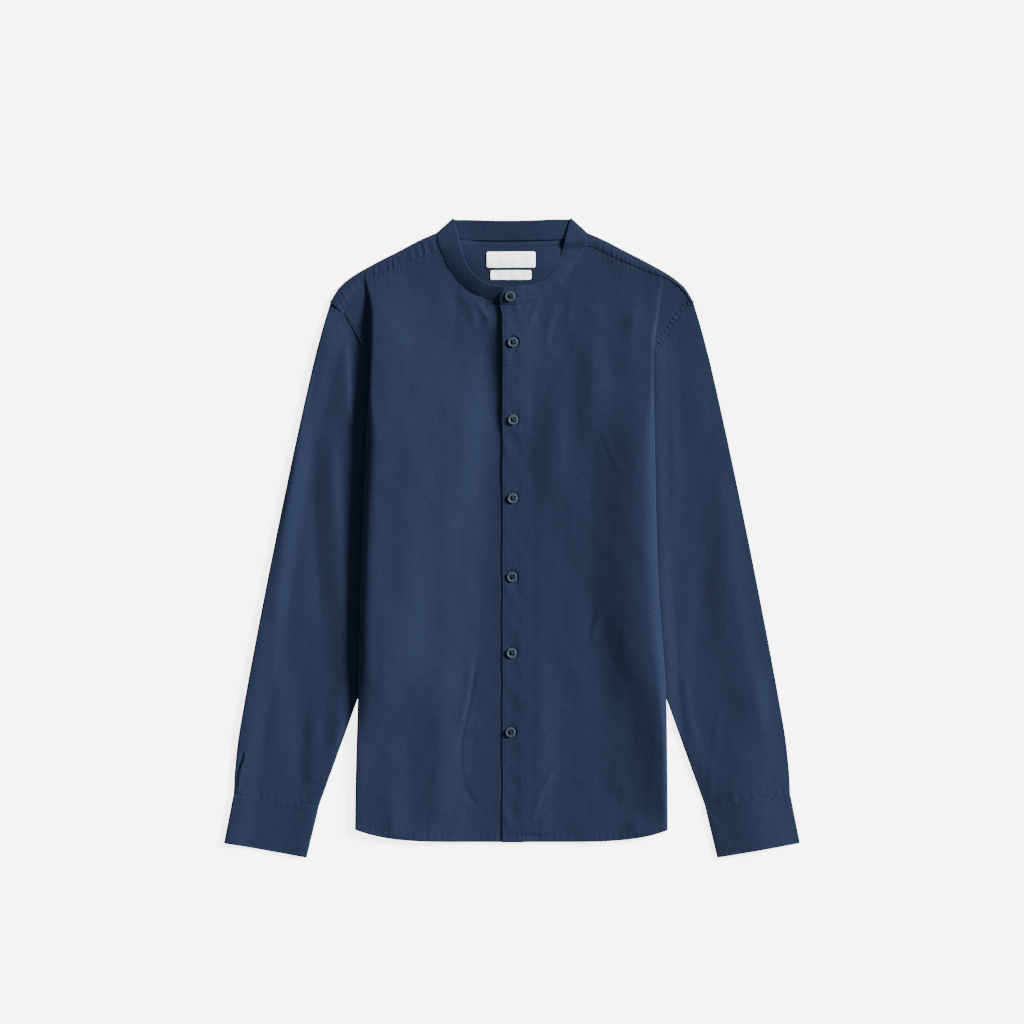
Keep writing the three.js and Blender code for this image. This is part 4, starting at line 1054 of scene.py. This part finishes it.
def makeCuff(side):
    key, sign = side["key"], side["sign"]
    cuff = {"wall": 1.3, "length": 58.6, "rows": (1.9, 54.0), "soft": 0.42, "lift": 0.4}
    at = spaced([-0.012, 0.0, 0.012, 0.975, 0.99, 1.0], [1, 1, 39, 1, 1])[:, None]
    d, top, width, x, y = tubeGrid(cuffPlan, at, 60, 24)
    across = d / width
    along = at * cuff["length"]
    toEdge = cuff["length"] - along
    rim = 1 - 0.35 * (1 - smooth(-0.7, 0.8, along))
    rim = rim - 0.35 * smooth(cuff["length"] - 1.4, cuff["length"], along)
    outer, inner = cuffFull[key]
    z = tubeHeight(d, top, width, cuff["wall"], outer * rim, inner * rim, 0 * d)
    relief = pucker(d, along, 0.14, 6.2, 5, 61) + pucker(d, toEdge, 0.14, 6.2, 6, 61) + cuffArch(side, across)
    relief = relief + sum(groove(along - row, 0.24, 0.7) for row in cuff["rows"])
    relief = relief + 0.3 * ripple(d + 0.4 * along, 46, 62 + sign) + 0.25 * crumple(x, y, 8)
    lift = cuff["lift"] * (1 - smooth(0.0, 9, along))
    z = np.where(top, z + lift + relief * smooth(0.4, 5, np.minimum(d, width - d)), z)
    points = np.stack([sign * x, y, z], -1)
    around = np.where(top, d, 2 * width - d)
    uv = np.stack([sign * (around + 1500), along + 0 * around], -1)
    thing = clothSheet("cuffBand_" + key, points, uv, navy, thick=cuff["wall"], closed=True, flip=sign > 0)
    soften(thing, cuff["soft"])
    place(thing, "cuff_" + key)
    upper = points[:, :int(top[0].sum())]
    lines = []
    for row in cuff["rows"]:
        path = np.stack(cuffPlan(row / cuff["length"], np.linspace(0, 1, 30)[1:-1]), 1) * [sign, 1]
        lines.append(lineOn(upper, path, lift=cuff["wall"] / 2))
    stitches = stitchPiece("cuffStitches_" + key, lines, "cuff_" + key)
    declareSheet(thing, uv, ["floor"], [stitches])
    print("sleeve and cuff made, " + key)


# Yoke and collar band

yoke = {
    # along the shoulder: the neck's end, where it narrows, the tip
    "from": 90.2, "bend": 171, "to": 222,
    "cover": 1.3, "stand": 0.4, "crown": 0.5, "groove": 0.1, "seamGap": 0.45,
    "pucker": {"right": 0.27, "left": 0.2},
}
neckDome = {"height": 6.2, "at": 42, "left": 102, "right": 52, "start": 280}
backBand = {"lift": 3.4, "liftAt": 40, "liftHalf": 92, "more": 2.4, "raise": (350, 362)}


def yokeSeam(side, x):
    # where the yoke's front edge lies for each place along the shoulder
    ends = yokeEndShape[side["key"]]
    edge = crease(side, ends["y"][-1])
    seamX = np.interp(x, [92.7, 106, 124, 142, 157, yoke["bend"]], [88.4, 104, 124, 142, edge - 24, edge - 6])
    seamY = read(frontTopShape, "x", side["key"], seamX)
    stations = [yoke["bend"], 181, 191, 201, 211, 221]
    outX = np.interp(x, stations, [edge - 6] + ends["x"][::-1])
    outY = np.interp(x, stations, [read(frontTopShape, "x", side["key"], edge - 6)] + ends["y"][::-1])
    return np.where(x <= yoke["bend"], seamX, outX), np.where(x <= yoke["bend"], seamY, outY)


def bandDome(x):
    return backBand["lift"] * np.maximum(0, 1 - ((x - backBand["liftAt"]) / backBand["liftHalf"]) ** 2)


def bandLift(x):
    # how far the back of the collar band stands off the floor, more towards the wearer's left
    return bandDome(x) + backBand["more"] * smooth(-26, 45, x) * (1 - smooth(77, 89, x))


def yokeInside(x, y):
    # the inside of the yoke in the neck opening, slightly domed, and up against the band at the back
    width = np.where(x < neckDome["at"], neckDome["left"], neckDome["right"])
    dome = neckDome["height"] * np.maximum(0, 1 - ((x - neckDome["at"]) / width) ** 2)
    dome = dome * smooth(neckDome["start"], 342, y) * (1 - 0.6 * smooth(344, 366, y))
    dome = dome * (1 - smooth(58, 78, x))
    inner = layers["back"] + dome + 0.2 + 0.3 * crumple(x, y, 9) * smooth(274, 290, y)
    return mix(inner, np.maximum(layers["back"], bandLift(x) - 0.45), smooth(338, 358, y))


def yokeHalf(side, x, underT, bends, frontT):
    # from the back seam along the floor, round the shoulder in a half circle, and down over the front's top
    radius, key = shape["shoulderRoll"], side["key"]
    foldY = read(shoulderShape, "x", "y", x) + 0.4 * np.maximum(0, shoulderShape["x"][0] - x)
    ahead, behind = (read(shoulderShape, "x", "y", at) for at in (np.minimum(220.9, x + 1), x - 1))
    slope = (ahead - behind) / 2
    outX, outY = -slope / np.hypot(slope, 1), 1 / np.hypot(slope, 1)
    axleX, axleY = x - radius * outX, foldY - radius * outY
    armY = mix(shape["backYokeSeam"], shape["tipY"], smooth(204, shape["tipX"], x)) + yoke["seamGap"]
    under = np.stack([mix(np.minimum(x, 219), axleX, underT), mix(armY, axleY, underT),
                      0 * underT * x + layers["back"]], -1)
    out = radius * np.cos(bends)
    roll = np.stack([axleX + out * outX, axleY + out * outY,
                     layers["back"] + radius * (1 + np.sin(bends)) + 0 * x], -1)
    seamX, seamY = yokeSeam(side, x)
    reach = np.hypot(seamX - axleX, seamY - axleY)
    t = frontT * (1 + yoke["cover"] / reach)
    fx, fy = mix(axleX, seamX, t), mix(axleY, seamY, t)
    edge = crease(side, fy)
    panel = mix(frontSurface(side, np.minimum(fx, edge), fy), frontFlapHeight(side, np.maximum(fx, edge), fy),
                smooth(-4, 6, fx - edge))
    stand = yoke["stand"] * mix(-0.6, 1, smooth(2.5, 6.5, reach))
    base = mix(layers["back"] + 2 * radius, panel + stand, smooth(0, 1, np.minimum(t, 1)))
    along = np.concatenate([[0], np.cumsum(np.hypot(np.diff(x), np.diff(foldY)))])
    broad = smooth(4, 18, reach)
    wave = yoke["pucker"][key] * ripple(along + 0.25 * reach * t, 8.6, 71)
    wave = wave * smooth(0, 0.35, t) * mix(0.7, 1, t) * mix(0.4, 1, broad)
    crown = yoke["crown"] * np.sin(np.pi * np.minimum(t, 1)) ** 1.5
    sewn = groove((1 - t) * reach + yoke["cover"] - 1.9, yoke["groove"], 0.8)
    front = np.stack([fx, fy, base + wave + broad * (crown + sewn)], -1)
    return np.concatenate([under, roll, front]) * [side["sign"], 1, 1], front * [side["sign"], 1, 1]


def makeYoke():
    shoulderX = spaced([yoke["from"], yoke["bend"], yoke["to"]], [57, 39])
    underT = np.linspace(0, 1, 16)[:, None]
    bends = np.radians(np.linspace(-90, 90, 10)[1:, None])
    frontT = np.linspace(0, 1, 17)[1:, None]
    count = len(underT) + len(bends) + len(frontT)
    halves = [yokeHalf(side, shoulderX, underT, bends, frontT) for side in (wearerRight, wearerLeft)]
    centreX = np.linspace(-yoke["from"], yoke["from"], 62)[1:-1]
    neck = read(backNeckShape, "x", "y", np.abs(centreX)) + 0.4
    insideZ = yokeInside(centreX + 0 * underT, mix(float(neckDome["start"]), neck, underT))
    centreY = mix(shape["backYokeSeam"] + yoke["seamGap"], neck, underT)
    centre = np.stack([centreX + 0 * underT, centreY, insideZ], -1)
    filler = np.repeat(centre[-1:], count - len(underT), 0)
    points = np.concatenate([halves[0][0][:, ::-1], np.concatenate([centre, filler]), halves[1][0]], 1)
    cells = np.ones((count - 1, points.shape[1] - 1), bool)
    cells[len(underT) - 1:, len(shoulderX) - 1:len(shoulderX) + len(centreX)] = False
    down = np.linalg.norm(np.diff(points[..., 1:], axis=0, prepend=points[:1, :, 1:]), axis=2).cumsum(0)
    uv = np.stack([points[..., 0], 2000 + points[:1, :, 1] + down], -1)
    thing = clothSheet("yokePanel", points, uv, navy, keep=cells)
    place(thing, "yoke")
    shown = slice(1, 56)                           # the stitches end where the yoke narrows
    lines = [lineOn(front, mix(front[-1, shown, :2], front[-6, shown, :2], 0.28)) for half, front in halves]
    backX = np.linspace(-72, 72, 60)
    backLine = np.stack([backX, read(backNeckShape, "x", "y", np.abs(backX)) - 2.4], 1)
    lines.append(lineOn(centre, backLine))
    stitches = stitchPiece("yokeStitches", lines, "yoke")
    declareSheet(thing, uv, ["floor"], [stitches], cells=cells)
    print("yoke made")


band = {
    "wall": 1.2, "cover": 1.1, "bulge": 0.5, "endRound": 5.2, "rows": 13, "columns": 330,
    "stand": {"right": 0.6, "left": 0.34},         # the share of each station's rise that the free edge has
    "foldSeam": (91.2, 371.9), "foldEdge": (72.2, 389.2), "foldRise": 3.4, "backEdge": 386.6,
    "overlap": 1.5,                                # the left end lies on the right one
}
bandShape = {
    # each station: the seam's X and Y, the free edge's X and Y, and how far the band can rise between them
    "right": [
        (-9, 288.9, -9, 305.2, 8.6), (5, 288.9, 5, 305.4, 8.8), (18, 290, 15, 306.2, 9),
        (32, 293.4, 25.5, 308.7, 9), (48.6, 300.9, 37.5, 313.6, 8.8), (65.1, 314.7, 49, 323.4, 8.2),
        (78.2, 332.2, 57.3, 337.6, 7), (85.6, 351, 62.6, 355.5, 5), (89.4, 363, 67, 373, 3),
    ],
    "left": [
        (-11.4, 285.4, -6.4, 304.6, 8.6), (4, 285.6, 5.2, 305.5, 8.8), (18, 288.4, 16, 306.6, 9),
        (32, 293.6, 26, 309, 9), (48.6, 303.5, 38, 314, 8.8), (65.1, 318.9, 49.6, 324.4, 8.2),
        (78.2, 337.4, 58, 340.4, 7), (86, 353.4, 63, 356.5, 5), (89.6, 364, 67.4, 373.5, 3),
    ],
}


def bandStations():
    # each station is the band's seam point and its free edge's; folded flat behind the neck
    backZ = band["wall"] / 2
    foldSeamZ, foldEdgeZ = layers["back"] + 2 * shape["shoulderRoll"], backZ + band["foldRise"]
    (foldSeamX, foldSeamY), (foldEdgeX, foldEdgeY) = band["foldSeam"], band["foldEdge"]
    bend = np.radians([90, 45, 0, -45, -90])
    out = unit(np.array([foldEdgeY - foldSeamY, foldSeamX - foldEdgeX]))
    halves = {}
    for side in (wearerRight, wearerLeft):
        seamX, seamY, edgeX, edgeY, rise = np.array(bandShape[side["key"]], float).T
        awayX, awayY = seamX - edgeX, seamY - edgeY
        cover = band["cover"] / np.hypot(awayX, awayY)
        seamX, seamY = seamX + awayX * cover, seamY + awayY * cover
        level = frontSurface(side, np.maximum(seamX, -9), seamY) + 0.1
        if side["sign"] > 0:
            level = level + band["overlap"] * (1 - smooth(12, 22, seamX))
        toFold = smooth(84, 96, seamX)
        seamZ = mix(level, foldSeamZ + 1.3, toFold)
        edgeZ = mix(seamZ + band["stand"][side["key"]] * rise, foldEdgeZ, toFold)
        seam = np.stack([side["sign"] * seamX, seamY, seamZ], -1)
        edge = np.stack([side["sign"] * edgeX, edgeY, edgeZ], -1)
        turned = []
        for px, py, top in ((foldSeamX, foldSeamY, foldSeamZ), (foldEdgeX, foldEdgeY, foldEdgeZ)):
            radius = (top - backZ) / 2
            reach = radius * (np.cos(bend) - 1)
            turned.append(np.stack([side["sign"] * (px + reach * out[0]), py + reach * out[1],
                                    backZ + radius * (1 + np.sin(bend))], -1))
        halves[side["key"]] = (np.vstack([seam, turned[0]]), np.vstack([edge, turned[1]]))
    share = np.array([-0.72, -0.36, 0, 0.36, 0.72])
    seamX, edgeX = share * 84, share * 68
    seamY = read(backNeckShape, "x", "y", np.abs(seamX)) + 0.2
    edgeY = mix(band["backEdge"], foldEdgeY, share**2) - 0.4
    backSeam, backEdge = (np.stack([x, y, 0 * share + backZ], -1)
                          for x, y in ((seamX, seamY), (edgeX, edgeY)))
    seam = np.vstack([halves["right"][0], backSeam, halves["left"][0][::-1]])
    edge = np.vstack([halves["right"][1], backEdge, halves["left"][1][::-1]])
    return seam, edge


def makeBand():
    # straight across from the seam to the free edge, bulged a little, with its last end drawn out round
    seam, edge = bandStations()
    columns = band["columns"]
    s, e = curveThrough(seam, columns), curveThrough(edge, columns)
    t = np.linspace(0, 1, band["rows"])[:, None, None]
    points = s[None] * (1 - t) + e[None] * t
    normal = gridNormals(points)
    along = np.concatenate([[0], np.cumsum(np.linalg.norm(np.diff(s, axis=0), axis=1))])
    up = np.sign(normal[..., 2:3] + 1e-9) * normal
    standing = (1 - smooth(345, 368, points[..., 1]))[..., None]
    relief = band["bulge"] * np.sin(np.pi * t)
    relief = relief + 0.12 * ripple(along, 8, 81)[None, :, None] * np.exp(-t * 5)
    relief = relief + 0.1 * ripple(along, 23, 82)[None, :, None]
    points = points + up * relief * standing
    turn = min(np.argmax(s[:, 0]), np.argmax(e[:, 0]))
    behind = np.arange(columns) < turn
    lift = np.where(behind, bandLift(points[..., 0]), bandDome(points[..., 0]))
    points[..., 2] += lift * smooth(*backBand["raise"], points[..., 1])
    last = np.arange(columns) / (columns - 1)
    tab = smooth(0.962, 1, last)[None, :] * np.abs(np.sin(np.pi * t[..., 0])) ** 0.55
    points[..., 0] -= band["endRound"] * tab
    uv = np.stack([along[None, :] + 0 * t[..., 0], 3000 + 20 * t[..., 0] + 0 * along[None, :]], -1)
    thing = softBand("collarBand", points, uv, band["wall"], navy)
    place(thing, "collar_band")
    overPart = points[:, int(columns * 0.66):]
    underPart = points[:, :int(columns * 0.34)]
    backPart = points[:, int(columns * 0.43):int(columns * 0.57)]
    lines = []
    for part, rows, shown in ((overPart, (0.13, 0.9), slice(5, -12)),
                              (underPart, (0.13, 0.9), slice(30, -12)),
                              (backPart, (0.12, 0.88), slice(1, -1))):
        for row in rows:
            path = mix(part[0, :, :2], part[-1, :, :2], row)[shown]
            lines.append(lineOn(part, path, lift=band["wall"] / 2))
    stitches = stitchPiece("bandStitches", lines, "collar_band")
    print("collar band made")
    under = ["yokePanel", "frontPanel_left", "frontPanel_right"]
    return overPart, {"thing": thing, "uv": uv, "restsOn": under, "pieces": [stitches]}


# Buttons

buttonPlaces = [(0.9, 238.3), (1.1, 144), (0.6, 48.4), (0, -47.6), (-0.6, -140.3), (-1.8, -236.7)]
collarButton = (-2.4, 294.0)
button = {
    "radius": 6.1, "thick": 1.7, "edge": 0.6, "dish": 0.35, "dishEdge": (3.7, 4.7), "rimHighlightEdge": (3.7, 4.6),
    "hole": 0.95, "holeAt": 1.85, "holeDepth": 1.4, "seat": 0.15, "thread": 0.4, "threadRise": 0.34,
}
buttonhole = {
    "length": 16.0, "half": 0.85, "reach": 0.62, "pitch": 0.42, "bar": 1.15, "up": 0.8, "beside": (3.6, 0.6),
}


def frameFrom(normal, turn):
    # three directions: across, up and out, with out along the normal, turned about it
    out = unit(normal)
    across = unit(np.cross([0, 1, 0], out))
    up = np.cross(out, across)
    c, s = np.cos(turn), np.sin(turn)
    return np.stack([c * across + s * up, c * up - s * across, out])


def buttonSurface():
    # radius and height from the middle of the top, over the rim and back under; four wells for the thread
    rim = np.radians([18, 36, 54, 72, 90])
    radius, edge, thick = button["radius"], button["edge"], button["thick"]
    face = np.linspace(0, radius - edge, 34)
    r = np.concatenate([face, radius - edge + edge * np.sin(rim), [radius, radius - 0.25, radius - 0.9, 0]])
    faceZ = thick - button["dish"] * (1 - smooth(*button["dishEdge"], face))
    z = np.concatenate([faceZ, thick - edge * (1 - np.cos(rim)), [0.75, 0.25, 0, 0]])
    angle = np.linspace(0, 2 * np.pi, 72, endpoint=False)
    x, y = r[:, None] * np.cos(angle), r[:, None] * np.sin(angle)
    away = np.hypot(np.abs(x) - button["holeAt"], np.abs(y) - button["holeAt"])
    wells = button["holeDepth"] * (1 - smooth(button["hole"] * 0.75, button["hole"] * 1.2, away))
    return np.stack([x, y, z[:, None] - wells * (np.arange(len(r)) < len(face))[:, None]], -1)


def tubeAlong(path, radius, sides=8):
    # a round thread along a path, its ends closed to a point
    along = unit(np.gradient(path, axis=0))
    side = unit(np.cross(along, [0.1, 0.2, 1.0]))
    up = np.cross(side, along)
    angle = np.linspace(0, 2 * np.pi, sides, endpoint=False)[None, :, None]
    size = radius * np.sqrt(np.clip(np.sin(np.pi * np.linspace(0, 1, len(path))) * 3, 0, 1))[:, None, None]
    return path[:, None] + size * (np.cos(angle) * side[:, None] + np.sin(angle) * up[:, None])


def makeButton(name, seat, normal, turn):
    # the button, and its thread as a cross of three strands each way
    axes = frameFrom(normal, turn)
    origin = seat + axes[2] * button["seat"]
    surface = buttonSurface()
    thing = meshFrom(name, surface @ axes + origin, gridFaces(*surface.shape[:2], True).reshape(-1, 4))
    # the rim attribute runs from 0 in the sunk middle to 1 on the rim, a mask for painted shade and a painted
    # highlight
    rim = thing.data.attributes.new("rim", "FLOAT", "POINT")
    fromMiddle = np.hypot(surface[..., 0], surface[..., 1])
    rim.data.foreach_set("value", smooth(*button["rimHighlightEdge"], fromMiddle).ravel())
    clean(thing, 0.004)
    linkMaterial(thing, resin)
    place(thing, name)
    vertexSets, faceSets, count = [], [], 0
    held = button["holeAt"] * 1.08
    t = np.linspace(-1, 1, 15)
    for k, (sx, sy) in enumerate([(1, 1), (1, -1)]):
        arch = button["thick"] - button["dish"] + button["threadRise"] + 0.26 * k - 1.15 * np.abs(t) ** 6
        for offset in (-0.4, 0, 0.4):
            away = np.array([-sy, sx]) / np.sqrt(2) * offset
            path = np.stack([t * sx * held + away[0], t * sy * held + away[1], arch], 1)
            tube = tubeAlong(path, button["thread"]) @ axes + origin
            faceSets.append(gridFaces(*tube.shape[:2], True).reshape(-1, 4) + count)
            vertexSets.append(tube.reshape(-1, 3))
            count += tube.shape[0] * tube.shape[1]
    thread = meshFrom(name + "Thread", np.concatenate(vertexSets), np.concatenate(faceSets))
    clean(thread, 0.002)
    linkMaterial(thread, buttonSewing)
    place(thread, name)
    return [thing, thread]


def holeStitches(surface, centre, angle, lift):
    # two rows of close stitches beside the slit, and a bar across each end
    along = np.array([np.cos(angle), np.sin(angle)])
    side = np.array([-along[1], along[0]])
    half, reach = buttonhole["half"], buttonhole["reach"]
    t = np.arange(-buttonhole["length"] / 2, buttonhole["length"] / 2, buttonhole["pitch"])
    starts, stops = [], []
    for sign in (-1, 1):
        starts.append(centre + t[:, None] * along + side * sign * (half - reach))
        stops.append(centre + t[:, None] * along + side * sign * (half + reach * 0.5))
    for end in (-1, 1):
        at = centre + along * end * (buttonhole["length"] / 2 + np.array([[0.0], [0.4]]))
        starts.append(at - side * buttonhole["bar"])
        stops.append(at + side * buttonhole["bar"])
    a, na = dropOn(surface, np.vstack(starts))
    b, nb = dropOn(surface, np.vstack(stops))
    return a + na * lift, b + nb * lift, na


def makeButtons(strip, overPart):
    # on the placket the holes run along it, on the band across the button; returns what each sheet carries
    holes, onPlacket, lift = [], [], {"placket": 0.62, "band": 0.8}
    for k, plan in enumerate(buttonPlaces):
        seat, normal = dropOn(strip, np.array([plan]))
        onPlacket += makeButton(f"button_{k + 1}", seat[0] + normal[0] * lift["placket"], normal[0],
                                0.1 * np.sin(k * 2.3))
        holes.append(holeStitches(strip, np.array(plan) + [0, buttonhole["up"]], np.pi / 2, lift["placket"]))
    seat, normal = dropOn(overPart, np.array([collarButton]))
    onBand = makeButton("button_collar", seat[0] + normal[0] * lift["band"], normal[0], 0.15)
    bandHole = holeStitches(overPart, np.array(collarButton) + buttonhole["beside"], 0.04, lift["band"])
    onBand.append(stitchPiece("collarButtonhole", [bandHole], "collar_band"))
    onPlacket.append(stitchPiece("buttonholeStitches", holes, "placket"))
    print("buttons made")
    return onPlacket, onBand


# Labels

labels = [
    {"name": "labelmain", "node": "label_main", "x": -1.2, "y": 339.1, "width": 58.9, "height": 19.2},
    {"name": "labelsmall", "node": "label_small", "x": -1.4, "y": 320.4, "width": 49.2, "height": 11.2},
]


def makeLabels():
    # blank tapes with rounded corners, lying on the inside of the yoke
    corner, above, thick = 1.35, 0.95, 0.45
    for label in labels:
        v = np.linspace(-0.5, 0.5, 15)[:, None] * label["height"]
        toEdge = np.minimum(label["height"] / 2 - np.abs(v), corner)
        inset = corner - np.sqrt(corner**2 - (corner - toEdge) ** 2)
        u = np.linspace(-1, 1, 61)[None, :] * (label["width"] / 2 - inset)
        x, y = label["x"] + u, label["y"] + v + 0 * u
        points = np.stack([x, y, yokeInside(x, y) + above + 0.1 * ripple(u + 0.3 * v, 17, 91)], -1)
        uv = np.stack([u + 0 * v, v + 0 * u + 4000], -1)
        thing = softBand(label["name"], points, uv, thick, tape)
        place(thing, label["node"])
        declareSheet(thing, uv, ["yokePanel"], [])
    print("labels made")


# Floor, lights and camera

def addScenery():
    far = 4000
    corners = [(-far, -far, 0), (far, -far, 0), (far, far, 0), (-far, far, 0)]
    floor = meshFrom("floor", corners, [(0, 1, 2, 3)])
    material = newMaterial("paleFloor", {
        "Base Color": (0.9, 0.9, 0.9, 1), "Roughness": 0.9, "Specular IOR Level": 0.1,
        "Emission Color": (1, 1, 1, 1), "Emission Strength": 4.0,
    })[0]
    linkMaterial(floor, material)
    # one broad soft light low on the right and a little towards the collar, and an even fill from all round
    key = {"strength": 21.4, "spread": 14.0, "elevation": 24.0, "azimuth": 24.0, "fill": 0.6}
    data = bpy.data.lights.new("key", "SUN")
    data.energy = key["strength"]
    data.angle = np.radians(key["spread"])
    lamp = bpy.data.objects.new("key", data)
    lamp.rotation_euler = (0, np.radians(90 - key["elevation"]), np.radians(key["azimuth"]))
    bpy.context.scene.collection.objects.link(lamp)
    world = bpy.data.worlds.new("studio")
    world.use_nodes = True
    background = world.node_tree.nodes["Background"]
    background.inputs["Color"].default_value = (1, 1, 1, 1)
    background.inputs["Strength"].default_value = key["fill"]
    bpy.context.scene.world = world
    # straight above: a pixel of the picture is 1.22 mm on the floor, and its middle row is at Y = 31.7 mm
    view = {"pixel": 1.22, "pixels": 1024, "middleRow": 538, "height": 3200.0, "sensor": 36.0}
    data = bpy.data.cameras.new("camera")
    data.sensor_width = view["sensor"]
    data.lens = view["sensor"] * view["height"] / (view["pixel"] * view["pixels"])
    data.clip_end = 50
    camera = bpy.data.objects.new("camera", data)
    camera.location = (0, (view["middleRow"] - view["pixels"] / 2) * view["pixel"] * mm, view["height"] * mm)
    bpy.context.scene.collection.objects.link(camera)
    bpy.context.scene.camera = camera
    print("floor, lights and camera made")


addScenery()
runs = makeFronts()
makeBack()
strip, placketSheet = makePlacket(runs["left"])
for side in (wearerRight, wearerLeft):
    makeSleeve(side)
    makeCuff(side)
makeYoke()
overPart, bandSheet = makeBand()
onPlacket, onBand = makeButtons(strip, overPart)
placketSheet["pieces"] += onPlacket
bandSheet["pieces"] += onBand
declareSheet(**placketSheet)
declareSheet(**bandSheet)
makeLabels()
